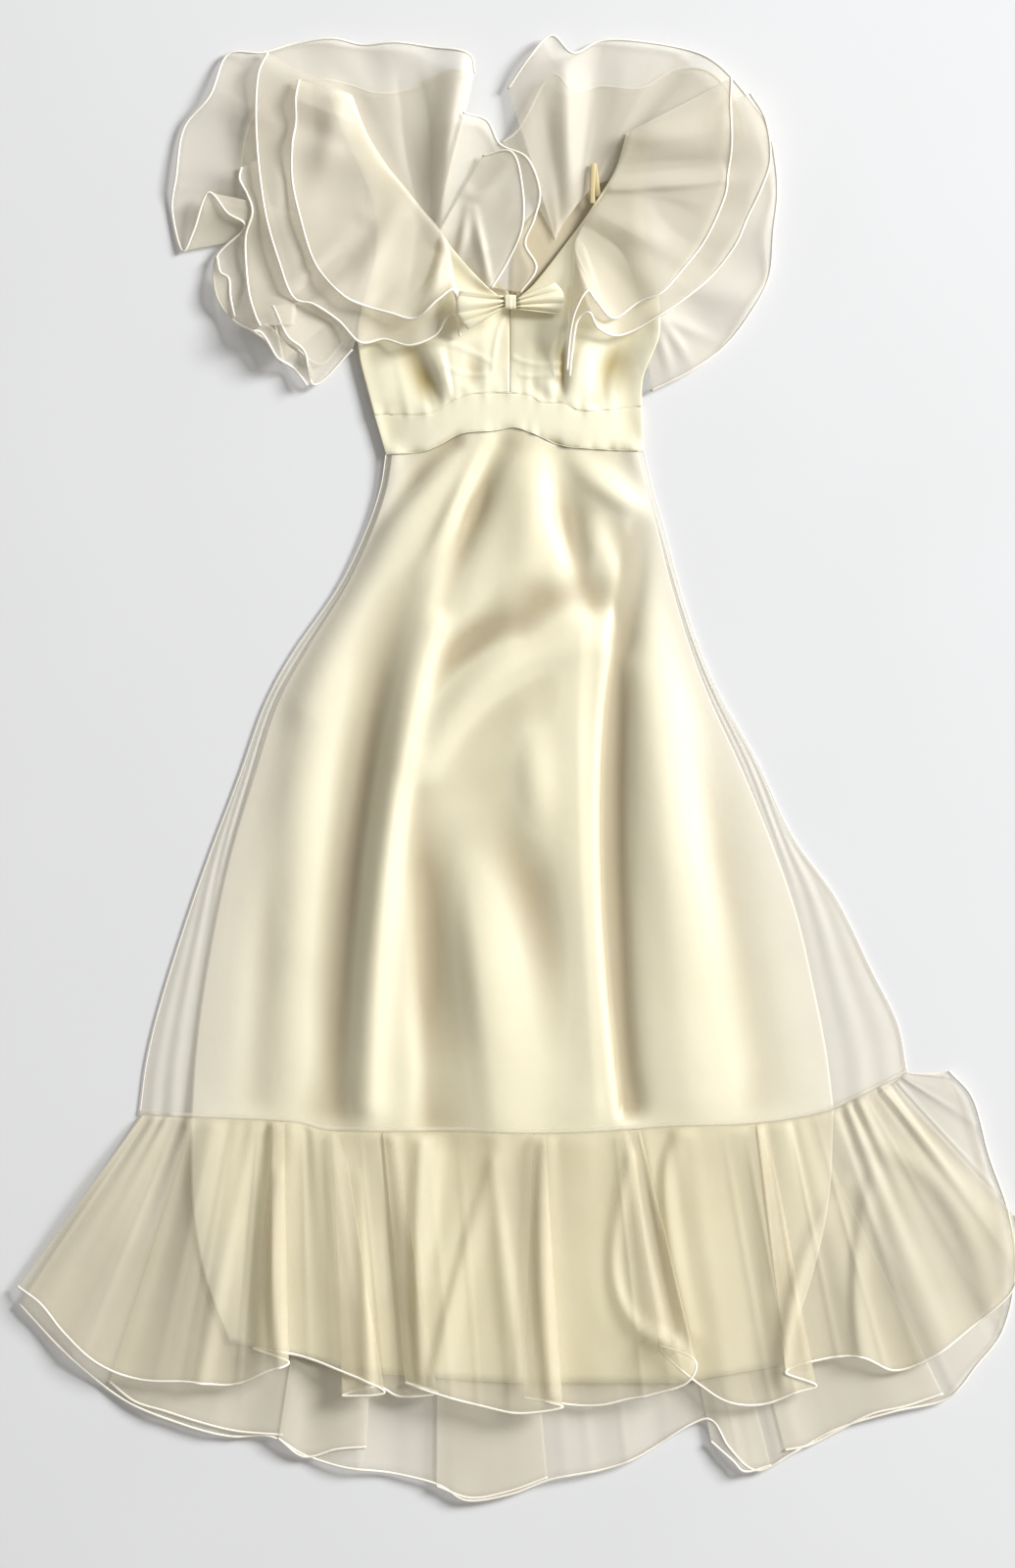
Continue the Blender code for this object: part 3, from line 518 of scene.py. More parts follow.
# %% [markdown]
# ## Silk organza
#
# Ruffles, flounce and overskirt are organza: a stiff plain weave of fine twisted threads with gaps
# between them. One layer only clouds what lies behind it, and several build up to a milky white, so
# the shader keeps a low plain Alpha and lets the layers add up by themselves. The overskirt lies taut,
# the flounce is loosely gathered and the ruffles hold their cloth closest together, hence three
# strengths. A rolled hem is many layers thick, so it is opaque. One noise both tints the cloth and
# wrinkles it a little, because light that passes many layers works out the pattern of each one.

# %% Organza
ORGANZA_WRINKLES = 20  # soft wrinkles in a metre


def make_organza(name, alpha, light, dark):
    """A finished organza from its cover, 0 clear to 1 opaque, its colour in the light and its tint."""
    values = {"Roughness": 0.5, "Specular IOR Level": 0.45, "Alpha": alpha}
    made, tree, shader = new_cloth_finish(name, light, values)
    spot = node(tree, "TexCoord").outputs["Object"]
    wrinkles = node(
        tree, "TexNoise", values={"Scale": ORGANZA_WRINKLES, "Detail": 1}, links={"Vector": spot}
    )
    tree.links.new(mixed(tree, wrinkles.outputs["Fac"], light, dark), shader.inputs["Base Color"])
    soft = node(
        tree, "Bump", values={"Strength": 0.35, "Distance": 2 * MM},
        links={"Height": wrinkles.outputs["Fac"]},
    )
    tree.links.new(soft.outputs["Normal"], shader.inputs["Normal"])
    return made


organza = make_organza("gathered silk organza", 0.3, "#F8F2E1", "#F1E9D6")
loose_organza = make_organza("loosely gathered silk organza", 0.28, "#F5EDD4", "#EDE3C4")
taut_organza = make_organza("taut silk organza", 0.17, "#FDF8EA", "#F7F0DF")
hem_thread = make_organza("rolled organza hem", 1.0, "#FFFBF0", "#FAF2E0")
print("organza:", *(made.name + "," for made in (organza, loose_organza, taut_organza)), hem_thread.name)

# %% [markdown]
# ## From points to a piece
#
# A grid of points becomes a mesh of four-sided faces that look up, and a Solidify modifier gives it a
# thin wall. Every piece rides on the gown's one body. The ribbon and the knot go round, so their grid is
# closed into a tube: its last line is joined to its first.

# %% Pieces from points
def upward(points):
    """The same grid, turned where needed so that its faces look up."""
    along = points[1:, :-1] - points[:-1, :-1]
    down = points[:-1, 1:] - points[:-1, :-1]
    return points if np.cross(along, down)[..., 2].sum() > 0 else points[::-1]


def grid_faces(across, down, around=False):
    """Four-sided faces of a grid of points, closed into a tube where it goes around."""
    number = np.arange(across * down).reshape(across, down)
    if around:
        number = np.concatenate((number, number[:, :1]), axis=1)
    corners = (number[:-1, :-1], number[1:, :-1], number[1:, 1:], number[:-1, 1:])
    return np.stack(corners, axis=-1).reshape(-1, 4).tolist()


def new_piece(name, points, faces, material):
    """A smooth mesh of these points and faces, riding on the gown's one body."""
    mesh = bpy.data.meshes.new(name)
    mesh.from_pydata(points.reshape(-1, 3).tolist(), [], faces)
    mesh.shade_smooth()
    mesh.materials.append(material)
    piece = bpy.data.objects.new(name, mesh)
    bpy.context.collection.objects.link(piece)
    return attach(piece, "root")


def give_wall(piece, thickness):
    """A thin wall, half of it on each side of the points."""
    wall = piece.modifiers.new("wall", "SOLIDIFY")
    wall.thickness = thickness
    wall.offset = 0


print("3 x 3 points make", len(grid_faces(3, 3)), "faces, or as a tube", len(grid_faces(3, 3, around=True)))

# %% [markdown]
# ## Measuring a sheet
#
# A function measures a sheet as it lies: its longest line across, its longest line down, and its
# surface. A real gathered or circular-cut piece holds the same cloth in finer folds.
# The hollows, where the satin's colour is darkened as painted shade, are measured as well: each point's
# height is compared with a broad average of the cloth round it.

# %% Measures of a sheet
HOLLOW_ROUNDS = 160
HOLLOW_DEPTH = 5 * MM


def cut_of(points):
    """Width, length and area of the cloth that a grid of points stands for."""
    width = np.linalg.norm(np.diff(points, axis=0), axis=-1).sum(axis=0).max()
    length = np.linalg.norm(np.diff(points, axis=1), axis=-1).sum(axis=1).max()
    a, b, c, d = points[:-1, :-1], points[1:, :-1], points[1:, 1:], points[:-1, 1:]
    area = np.linalg.norm(np.cross(c - a, d - b), axis=-1).sum() / 2
    return float(width), float(length), float(min(area, width * length))


def mark_hollows(piece, height):
    """Stores how far each point lies below the cloth round it, 0 to 1, for the satin's painted shade."""
    broad = height
    for _ in range(HOLLOW_ROUNDS):
        broad = averaged(broad)
    depth = np.clip((broad - height) / HOLLOW_DEPTH, 0, 1)
    store = piece.data.attributes.new("painted_fold_shade", "FLOAT", "POINT")
    store.data.foreach_set("value", depth.reshape(-1).astype(np.float32))


square = with_height(np.stack(np.meshgrid((0, 0.1), (0, 0.1)), axis=-1), np.zeros((2, 2)))
print("a test square measures", *(round(size, 3) for size in cut_of(square)), "(m, m, m2)")

# %% [markdown]
# ## Rolled hems
#
# Organza frays, so its edge is rolled up tightly and sewn over. From above the hem is a fine opaque line
# that draws the outline of each ruffle. Here it is a thin six-sided roll along the last row of points.
# A smaller one beside a seam stands for the allowance that is turned in there.

# %% Rolled hems
HEM_RADIUS = 1.5 * MM
HEM_SIDES = 6


def rolled_hem(name, edge, radius=HEM_RADIUS, material=None):
    """A fine roll of cloth along an edge, closed at both ends."""
    along = np.gradient(edge, axis=0)
    along /= np.maximum(np.linalg.norm(along, axis=1, keepdims=True), TINY)
    side = np.cross(along, (0, 0, 1))
    side /= np.maximum(np.linalg.norm(side, axis=1, keepdims=True), TINY)
    up = np.cross(side, along)
    turn = np.linspace(0, 2 * np.pi, HEM_SIDES, endpoint=False)[None, :, None]
    rings = edge[:, None] + radius * (side[:, None] * np.cos(turn) + up[:, None] * np.sin(turn))
    faces = grid_faces(len(edge), HEM_SIDES, around=True)
    ends = np.arange(len(edge) * HEM_SIDES).reshape(-1, HEM_SIDES)
    faces += [ends[0].tolist(), ends[-1][::-1].tolist()]
    roll = new_piece(name, rings, faces, material or hem_thread)
    return roll


print("rolled hems are", round(2 * HEM_RADIUS * 1000, 1), "mm thick")

# %% [markdown]
# ## Laying a sheet
#
# One function now does all that a sheet needs: its mesh, hollows and wall, the CAD solid whose place it
# takes, and its cloth.

# %% Sheets of cloth
def cloth(node_name, points, wall, material, around=False):
    """A thin-walled sheet in place of the CAD solid of the same name."""
    points = points if around else upward(points)
    faces = grid_faces(*points.shape[:2], around=around)
    piece = new_piece("cloth_" + node_name, points, faces, material)
    mark_hollows(piece, points[..., 2])
    give_wall(piece, wall)
    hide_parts(node_name)
    return piece


print(len(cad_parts), "solids, each to be replaced by a sheet")

# %% [markdown]
# ## The back of the skirt
#
# A skirt panel is wider at each level down, so its points are spread evenly between its left and right
# outline, and its rows are then bent to follow the arched seams. The sheer skirt's back lies on the
# table, so it is flat but for its side seams, which curl up a little.

# %% Back of the skirt
SIDE_RISE = 6 * MM
PANEL_ACROSS = 61
SKIRT_DOWN = 101


def from_middle(count):
    """How far each column is from the middle line, -1 to 1."""
    return np.linspace(-1, 1, count)[:, None]


def side_rise(side):
    """How far a panel curls up towards its side seams."""
    return SIDE_RISE * np.abs(side) ** 8


def across_skirt(outline, across, down):
    """Plan points of a skirt panel, spread evenly to the left and right of its middle line."""
    side = from_middle(across)
    left, right, y = (smooth(outline[name], down)[None, :] for name in ("left", "right", "y"))
    x = np.where(side < 0, side * left, side * right)
    return np.stack((x, np.broadcast_to(y, x.shape)), axis=-1)


def bend_to_seams(plan, top=None, bottom=None):
    """Moves the rows so that the first and last follow the seams, and those between in proportion."""
    share = np.linspace(0, 1, plan.shape[1])[None, :]
    for seam, weight, edge in ((top, (1 - share) ** 2, 0), (bottom, share ** 2, -1)):
        if seam is not None:
            wanted = np.interp(plan[:, edge, 0], seam["x"], seam["y"])
            plan[:, :, 1] += weight * (wanted - plan[:, edge, 1])[:, None]
    return plan


plan = bend_to_seams(across_skirt(SKIRT, PANEL_ACROSS, SKIRT_DOWN), BAND_BOTTOM, FLOUNCE_SEAM)
fade = np.linspace(1, 0, SKIRT_DOWN)[None, :] ** 4
skirt_back = with_height(plan, ORGANZA_ROOM / 2 + side_rise(from_middle(PANEL_ACROSS)) * fade)
cloth("skirt_back", skirt_back, ORGANZA_WALL, taut_organza)
wait(skirt_back, ORGANZA_ROOM)

# %% [markdown]
# ## Fans of organza
#
# A circular-cut ruffle and a gathered flounce are both fans: short along the seam and long along the
# hem. Each is a set of lines from seam to hem. A row of its table says where a line starts and ends and
# how high its hem stands, and the lines between the rows follow smooth curves. Where the hem's places
# run back on themselves, the cloth is folded over.

# %% Fan maker
LINES_PER_ROW = 12


def fan(rows, down, seam=None, seam_lift=0):
    """Plan points, hem lift and share of the way down. seam_lift is the seam's part of the lift."""
    lines = LINES_PER_ROW * (len(rows["lift"]) - 1) + 1
    start = curve(rows, "seam_x", "seam_y", lines) if seam is None else seam(lines)
    share = np.linspace(0, 1, down) ** 1.15
    lift = smooth(rows["lift"], lines)[:, None] * (seam_lift + (1 - seam_lift) * share[None, :] ** 1.3)
    return between(start, curve(rows, "hem_x", "hem_y", lines), share), np.maximum(lift, 0), share[None, :]


def below(rows, skirt):
    """A seam line just below the skirt's lower edge, as a maker of its points."""
    edge = skirt[skirt[:, -1, 0].argsort(), -1]

    def seam(lines):
        x = smooth(rows["seam"], lines)
        return np.stack((x, np.interp(x, edge[:, 0], edge[:, 1]) - SEAM_GAP), axis=-1)

    return seam


print("a fan has", LINES_PER_ROW, "lines for each row of its table")

# %% [markdown]
# ## Gathers and billows
#
# Two finer movements bring a fan to life. Gathers are the small pleats of cloth drawn up on its sewing
# thread: sharp at the seam, they die out within a few centimetres. Billows are the slow waves of a
# stiff cloth, uneven, larger towards the hem and creased here and there. Both are waves along the hem,
# so they fan out with its lines.

# %% Gathers and billows
def along_hem(plan):
    """How far along the hem each line of a fan ends."""
    steps = np.linalg.norm(np.diff(plan[:, -1], axis=0), axis=1)
    return np.concatenate(([0], steps.cumsum()))


def gathers(plan, share, seed, step, depth, reach):
    """Uneven small pleats that start at the seam and die out down the cloth."""
    place = along_hem(plan)
    wave = uneven(place[-1], step, seed)(place)[:, None]
    return depth * (1 + wave) * np.exp(-share / reach) * np.minimum(share / 0.02, 1)


def billows(plan, share, seed, step, depth):
    """Slow waves that grow towards the hem, with a few sharper creases."""
    place = along_hem(plan)
    wave = uneven(place[-1], step, seed)(place)[:, None]
    drift = uneven(place[-1], step * 1.7, seed + 50)(place)[:, None]
    crease = (1 - np.abs(uneven(place[-1], step * 0.8, seed + 90)(place)[:, None])) ** 6
    swell = np.sin(np.pi * np.minimum(share, 0.75)) ** 0.8
    return depth * (1 + wave * share + drift * (1 - share) + 0.5 * crease) * swell


sample = uneven(1, 40 * MM, 4)(np.linspace(0, 1, 201))
print("waves on a metre of hem swing from", round(sample.min(), 2), "to", round(sample.max(), 2))

# %% [markdown]
# ## Turned layers
#
# Where a gather or a ruffle's edge has been pushed over, a second layer of the same cloth lies on the
# first. A fan could fold back on itself there, but the two layers lie flat on each other, so a strip
# laid on top is plainer and cannot cut through the cloth below. The strip's hem is on its far side.

# %% Turned layers
TURNED_COLUMNS = "hem_x hem_y fold_x fold_y"
TURNED_ALONG = 71
TURNED_DOWN = 9
TURNED_RISE = 2 * MM
TURNED_STEP = 9 * MM


def turned_edge(name, rows, seed):
    """A strip of the ruffle that has turned over on itself, with the hem on its far side."""
    hem_line = curve(rows, "hem_x", "hem_y", TURNED_ALONG)
    fold_line = curve(rows, "fold_x", "fold_y", TURNED_ALONG)
    wide = np.linalg.norm(hem_line - fold_line, axis=1).max()
    share = np.linspace(0, 1, max(TURNED_DOWN, int(wide / TURNED_STEP)))
    plan = between(fold_line, hem_line, share)
    wave = uneven(1, 0.22, seed)(np.linspace(0, 1, TURNED_ALONG))[:, None]
    rise = TURNED_RISE * share * (1.3 + 0.7 * wave)
    points = with_height(plan, settle(plan, rise, ORGANZA_ROOM))
    draw_in(points, ORGANZA_ROOM)
    strip = new_piece(name, upward(points), grid_faces(*points.shape[:2]), organza)
    give_wall(strip, ORGANZA_WALL)
    return [strip, rolled_hem("hem_" + name, points[:, -1])]


print("a turned layer stands up at most", round(2 * TURNED_RISE * 1000, 1), "mm at its hem")

# %% [markdown]
# ## The back flounce
#
# The flounce's back half is longer than its front one and shows below it. It lies on the table, and
# only its hem stands up here and there. Its seam follows the lower edge of the skirt's back, so that
# the two meet without a step.

# %% Back flounce
FLOUNCE_DOWN = 44
FLOUNCE_BACK = table(
    "seam hem_x hem_y lift",
    (-434, -575, -1035, 0), (-400, -525, -1088, 3), (-362, -460, -1143, 1), (-320, -395, -1172, 4),
    (-280, -330, -1190, 1), (-248, -280, -1190, 4), (-215, -240, -1212, 1), (-172, -195, -1226, 4),
    (-130, -140, -1233, 1), (-90, -85, -1246, 4), (-60, -50, -1265, 2), (-17, 0, -1258, 1),
    (20, 50, -1240, 4), (60, 108, -1229, 1), (100, 152, -1213, 4), (140, 212, -1176, 2),
    (165, 238, -1172, 1), (185, 258, -1204, 4), (210, 290, -1230, 1), (240, 334, -1208, 4),
    (275, 385, -1181, 1), (315, 450, -1161, 4), (355, 512, -1146, 1), (390, 548, -1106, 4),
    (425, 578, -1066, 1), (443, 592, -1000, 4), (451, 585, -930, 1), (457, 562, -862, 3),
    (462, 543, -795, 1), (466, 515, -762, 1),
)

plan, lift, share = fan(FLOUNCE_BACK, FLOUNCE_DOWN, below(FLOUNCE_BACK, skirt_back))
waves = gathers(plan, share, seed=3, step=26 * MM, depth=1.6 * MM, reach=0.4)
waves += billows(plan, share, seed=4, step=46 * MM, depth=3.6 * MM)
flounce_back = with_height(plan, ORGANZA_ROOM / 2 + lift + waves)
draw_in(flounce_back, ORGANZA_ROOM)
trims = [rolled_hem("hem_flounce_back", flounce_back[:, -1] + (0, 0, HEM_RADIUS))]
print("back flounce laid:", round(float(along_hem(plan)[-1]), 2), "m of hem")

# %% [markdown]
# ## Second layers of the back flounce
#
# Five of the flounce's gathers have been pushed over when the gown was laid down, so the organza lies
# double from the seam to the hem, and whiter for it. Each is a strip of a few rows. They go with the
# flounce as its trims, because a maker cuts them in one piece with it.

# %% Second layers of the back flounce
# Each row is a place on the strip's hem, and the place on the fold or seam above where it starts
TURNED_FLOUNCE = (
    table(
        TURNED_COLUMNS,
        (-470, -1126, -372, -824), (-440, -1149, -346, -830), (-405, -1160, -322, -834),
        (-368, -1172, -296, -836), (-320, -1184, -262, -834), (-266, -1188, -222, -830),
    ),
    table(
        TURNED_COLUMNS,
        (-271, -1192, -216, -832), (-241, -1214, -196, -834), (-203, -1205, -172, -835),
        (-168, -1202, -148, -834),
    ),
    table(
        TURNED_COLUMNS,
        (-86, -1248, -84, -838), (-46, -1262, -56, -839), (0, -1254, -22, -840), (44, -1238, 8, -840),
    ),
    table(
        TURNED_COLUMNS,
        (236, -1196, 166, -834), (261, -1218, 180, -834), (276, -1231, 192, -833), (306, -1224, 208, -832),
    ),
    table(
        TURNED_COLUMNS,
        (322, -1206, 226, -830), (352, -1200, 246, -828), (384, -1184, 268, -826),
        (424, -1164, 296, -822), (466, -1154, 322, -818), (508, -1140, 348, -812),
    ),
)

for number, strip in enumerate(TURNED_FLOUNCE):
    trims += turned_edge(f"turned_flounce_back_{number}", strip, 70 + number)
cloth("flounce_back", flounce_back, ORGANZA_WALL, organza)

# %% [markdown]
# ## Back of the midriff
#
# The shaped midriff is a band whose upper and lower edges follow the two arched seams. Its lower edge
# takes its line from the skirt's own first row, a hair's breadth clear of it, so the seam stays closed
# although the two pieces have different grids.

# %% Back of the midriff
BAND_ACROSS = 241
BAND_DOWN = 22


def band_plan(skirt):
    """Plan points of the midriff, how far each column is from the middle, and the skirt's edge."""
    side = from_middle(BAND_ACROSS)[:, 0]
    top_x = np.where(side < 0, -side * BAND_TOP["x"][0], side * BAND_TOP["x"][-1])
    top = np.stack((top_x, np.interp(top_x, BAND_TOP["x"], BAND_TOP["y"]) - SEAM_GAP), axis=-1)
    edge = skirt[skirt[:, 0, 0].argsort(), 0]
    low_x = np.interp(side, np.linspace(-1, 1, len(edge)), edge[:, 0])
    low = np.stack((low_x, np.interp(low_x, edge[:, 0], edge[:, 1]) + SEAM_GAP), axis=-1)
    return between(top, low, np.linspace(0, 1, BAND_DOWN)), side[:, None], edge


plan, side, _ = band_plan(skirt_back)
band_back = with_height(plan, np.broadcast_to(SATIN_ROOM / 2 + side_rise(side), plan.shape[:2]))
cloth("midriff_back", band_back, SATIN_WALL, satin)
wait(band_back, SATIN_ROOM)

# %% [markdown]
# ## Back of the bodice
#
# The back bodice is cut in two halves for the closure, which is hidden. They show through the opening
# of the neck only, so plain panels do. A half is drawn as a row for each level, with its outer edge,
# that is its side seam and armhole, and its inner edge along the middle and the neck.

# %% Back of the bodice
BACK_ACROSS = 31
BACK_DOWN = 61
BACK_LEFT = table(
    "outer_x outer_y inner_x inner_y",
    (-159, 7, 0, 31), (-168, 40, 0, 60), (-177, 78, 0, 92), (-177, 115, 0, 130), (-166, 161, -6, 158),
    (-156, 207, -68, 196), (-161, 259, -104, 243), (-182, 310, -146, 298), (-201, 351, -174, 343),
    (-212, 382, -190, 384),
)
BACK_RIGHT = table(
    "outer_x outer_y inner_x inner_y",
    (155, 17, 0, 31), (157, 52, 0, 60), (175, 98, 0, 92), (175, 139, 0, 124), (170, 178, 0, 166),
    (159, 218, 8, 214), (156, 259, 42, 258), (161, 299, 106, 299), (170, 336, 135, 338),
)


def bodice_plan(rows, sign, across, down):
    """Plan points of one half of the bodice, kept half a seam gap clear of the middle seam."""
    outer = curve(rows, "outer_x", "outer_y", down)
    inner = curve(rows, "inner_x", "inner_y", down)
    plan = between(outer, inner, np.linspace(0, 1, across)).transpose(1, 0, 2)
    plan = bend_to_seams(plan, BAND_TOP)
    plan[..., 0] = sign * np.maximum(sign * plan[..., 0], SEAM_GAP / 2)
    return plan, np.linspace(1, 0, across)[:, None]


for name, rows, sign in (("bodice_back_left", BACK_LEFT, -1), ("bodice_back_right", BACK_RIGHT, 1)):
    plan, side = bodice_plan(rows, sign, BACK_ACROSS, BACK_DOWN)
    half = with_height(plan, np.broadcast_to(SATIN_ROOM / 2 + side_rise(side), plan.shape[:2]))
    # The inside of the back is drawn in the darker satin: painted shade
    cloth(name, half, SATIN_WALL, shaded_inside_satin)
    wait(half, SATIN_ROOM)
done()

# %% [markdown]
# ## Ruffles
#
# Two tiers of circular-cut organza run round the neck. A circle's inner edge is short and its outer one
# long, so the cloth stands in waves without being gathered much. Each tier is a fan with weak gathers
# and broad billows. Creases are pressed into it as the folds above are: each is one row of a table.

# %% Ruffle maker
RUFFLE_DOWN = 38
RUFFLE_COLUMNS = "seam_x seam_y hem_x hem_y lift"
BACK_CREASES = table(
    FOLD_COLUMNS,
    (-118, 384, -110, 320, -90, 236, 14, 12, -3, -5, -2),
    (62, 416, 66, 330, 71, 240, 15, 12, 3, 5, 2),
    (30, 400, 44, 320, 60, 235, 16, 12, -2, -3, -1),
    (110, 400, 100, 340, 84, 262, 16, 16, -2, -2, 0),
    (-52, 412, -72, 320, -83, 224, 16, 9, 6, 7, 3),
    (-118, 400, -100, 320, -88, 236, 18, 14, -3, -4, -1),
    (-362, 358, -310, 340, -250, 322, 20, 12, 0, -4, -2),
    (-384, 300, -330, 285, -270, 280, 16, 16, 0, 4, 3),
    (-355, 120, -300, 110, -230, 150, 16, 16, 0, 4, 2),
    (-41, 248, -33, 206, -22, 156, 6, 4, 2, 5, 2),
    (-50, 250, -55, 216, -62, 186, 5, 6, 2, 4, 1),
    (-60, 300, -40, 262, -2, 300, 8, 8, 0, 3, 1),
    (177, 122, 210, 108, 248, 92, 7, 7, 3, 4, 1),
    (177, 116, 196, 92, 212, 66, 6, 6, 3, 4, 1),
    (172, 112, 180, 84, 190, 50, 6, 6, 2, 4, 1),
    (180, 170, 230, 150, 296, 150, 14, 14, 0, 4, 2),
)


def lay_ruffle(node_name, rows, seed, creases=BACK_CREASES, turned=()):
    """One tier of ruffle, laid on what is there already."""
    plan, lift, share = fan(rows, RUFFLE_DOWN)
    waves = gathers(plan, share, seed, step=40 * MM, depth=0.8 * MM, reach=0.3)
    waves += billows(plan, share, seed + 7, step=80 * MM, depth=1.8 * MM)
    waves = np.maximum(waves + folds(plan, creases), 0)
    height = settle(plan, np.zeros(lift.shape), ORGANZA_ROOM) + lift + waves
    points = with_height(plan, height)
    draw_in(points, ORGANZA_ROOM)
    trims = [rolled_hem("hem_" + node_name, points[:, -1])]
    for number, strip in enumerate(turned):
        trims += turned_edge(f"turned_{node_name}_{number}", strip, seed + number)
    return cloth(node_name, points, ORGANZA_WALL, organza)


print(len(BACK_CREASES["x0"]), "creases for the ruffles of the back")

# %% [markdown]
# ## Ruffles of the right back
#
# The back parts of both tiers fan up above the right shoulder and down beside the bodice. The upper tier
# falls over the lower one on the outside of the gown. The outside of the back faces the table, so there
# the upper tier is the nearer one to it and is laid first.

# %% Right back ruffles
UPPER_BACK_RIGHT = table(
    RUFFLE_COLUMNS,
    (54, 213, -8, 327, 2), (58, 221, 13, 345, 8), (62, 230, 48, 405, 9), (69, 239, 76, 386, 5),
    (78, 251, 107, 393, 2), (88, 264, 154, 390, 6), (98, 276, 195, 412, 3), (106, 284, 236, 407, 6),
    (113, 287, 267, 368, 2), (120, 286, 276, 333, 5),
)
LOWER_BACK_RIGHT = table(
    RUFFLE_COLUMNS,
    (54, 211, -2, 389, 3), (57, 221, 23, 425, 8), (61, 230, 49, 451, 3), (68, 239, 74, 430, 9),
    (77, 251, 106, 445, 4), (88, 264, 147, 445, 8), (97, 273, 207, 435, 3), (105, 278, 245, 415, 8),
    (115, 280, 282, 375, 3), (124, 280, 304, 339, 7), (133, 276, 314, 276, 3), (140, 266, 309, 222, 7),
    (144, 250, 304, 169, 3), (147, 232, 283, 128, 8), (148, 213, 251, 87, 3), (147, 194, 213, 59, 7),
    (144, 178, 165, 35, 2),
)

lay_ruffle("ruffle_upper_back_right", UPPER_BACK_RIGHT, 11)
lay_ruffle("ruffle_lower_back_right", LOWER_BACK_RIGHT, 12)

# %% [markdown]
# ## Ruffles of the left back
#
# The left side is fuller than the right. Three stretches of its lower hem have turned over on
# themselves, and are laid on as strips: first the hem's new place, then the fold.

# %% Left back ruffles
UPPER_BACK_LEFT = table(
    RUFFLE_COLUMNS,
    (-82, 223, -56, 411, 4), (-86, 230, -75, 409, 12), (-95, 239, -115, 390, 3), (-106, 251, -155, 384, 6),
    (-120, 266, -187, 394, 2), (-133, 279, -224, 400, 6), (-144, 288, -270, 393, 2),
    (-154, 291, -304, 351, 6), (-162, 284, -315, 293, 2), (-167, 266, -302, 247, 7),
    (-167, 240, -310, 213, 3), (-163, 213, -308, 167, 7), (-161, 193, -297, 122, 3),
    (-161, 173, -264, 98, 8), (-163, 150, -224, 67, 3), (-168, 132, -196, 92, 5),
)
LOWER_BACK_LEFT = table(
    RUFFLE_COLUMNS,
    (-82, 223, -41, 408, 4), (-84, 228, -48, 428, 14), (-87, 232, -86, 436, 5), (-94, 239, -132, 443, 9),
    (-106, 251, -172, 441, 3), (-120, 265, -209, 448, 6), (-133, 277, -253, 442, 3),
    (-145, 286, -290, 431, 7), (-156, 290, -331, 429, 3), (-164, 286, -351, 381, 7),
    (-169, 277, -382, 343, 3), (-171, 265, -391, 287, 6), (-170, 253, -396, 247, 2),
    (-168, 240, -384, 200, 3), (-167, 234, -370, 223, 9), (-165, 227, -353, 266, 15),
    (-163, 220, -330, 242, 13), (-162, 212, -310, 226, 9), (-161, 201, -343, 193, 2),
    (-160, 188, -344, 149, 8), (-160, 180, -324, 118, 3), (-161, 172, -299, 103, 9),
    (-162, 164, -284, 92, 4), (-163, 157, -266, 68, 8), (-163, 152, -277, 132, 15),
    (-164, 148, -260, 98, 17), (-165, 143, -240, 80, 11), (-166, 138, -228, 42, 4),
    (-168, 132, -184, 84, 5),
)
# Stretches of the left hem that have turned over: the hem's new place and the fold
TURNED_EDGES = (
    table(
        TURNED_COLUMNS,
        (-314, 296, -297, 305), (-316, 282, -292, 290), (-307, 264, -284, 268), (-301, 243, -277, 244),
        (-309, 216, -269, 216), (-309, 186, -262, 186), (-305, 149, -254, 150), (-297, 122, -249, 126),
        (-291, 109, -251, 110),
    ),
    table(
        TURNED_COLUMNS,
        (-343, 192, -346, 194), (-339, 174, -347, 171), (-329, 166, -344, 148), (-327, 144, -335, 132),
        (-322, 121, -323, 118),
    ),
    table(
        TURNED_COLUMNS,
        (-299, 103, -284, 112), (-291, 102, -277, 107), (-283, 92, -268, 98), (-274, 76, -259, 87),
        (-268, 70, -251, 81), (-255, 63, -242, 74), (-246, 53, -234, 65), (-237, 41, -229, 52),
    ),
)

lay_ruffle("ruffle_upper_back_left", UPPER_BACK_LEFT, 13)
lay_ruffle("ruffle_lower_back_left", LOWER_BACK_LEFT, 14, turned=TURNED_EDGES)

# %% [markdown]
# ## Leaves inside the neck
#
# On the left a few leaves of the back ruffle have turned over into the V of the neck. They lie on the
# inside of the back bodice, a long one below and a shorter one on top.

# %% Leaves inside the neck
INNER_LONG = table(
    RUFFLE_COLUMNS,
    (-90, 219, -54, 359, 2), (-86, 213, -27, 352, 6), (-82, 208, -11, 324, 2), (-76, 201, 20, 307, 8),
    (-70, 193, 35, 269, 4), (-62, 184, 29, 237, 8), (-54, 175, 18, 208, 3), (-48, 168, 31, 179, 6),
    (-42, 161, 12, 150, 2),
)
INNER_SHORT = table(
    RUFFLE_COLUMNS,
    (-86, 215, -32, 310, 3), (-81, 207, 2, 313, 9), (-74, 198, 14, 276, 4), (-66, 188, 15, 228, 10),
    (-56, 177, -2, 187, 4), (-44, 164, -21, 155, 6),
)

lay_ruffle("ruffle_lower_inner_left", INNER_LONG, 15)
lay_ruffle("ruffle_upper_inner_left", INNER_SHORT, 16)

# %% [markdown]
# ## Hanger loop
#
# Inside the right shoulder lies a loop of narrow satin ribbon, sewn double, by which the gown hangs on
# its hanger. Its path runs up, turns over and comes down again. Each cross-section of the path is a
# flattened ring, so the ribbon is a flat tube.

# %% Hanger loop
RIBBON_WIDTH = 5.6 * MM
RIBBON_PLY = 0.45 * MM
RIBBON_WALL = 0.3 * MM
RIBBON_SIDES = 12
RIBBON_STEPS = 61
HANGER = table(
    "x y rise",
    (104, 262, 0), (102, 278, 0), (100, 294, 0.3), (99, 301, 2), (98, 295, 3.6), (97, 275, 3.6),
    (97, 254, 3.6),
)

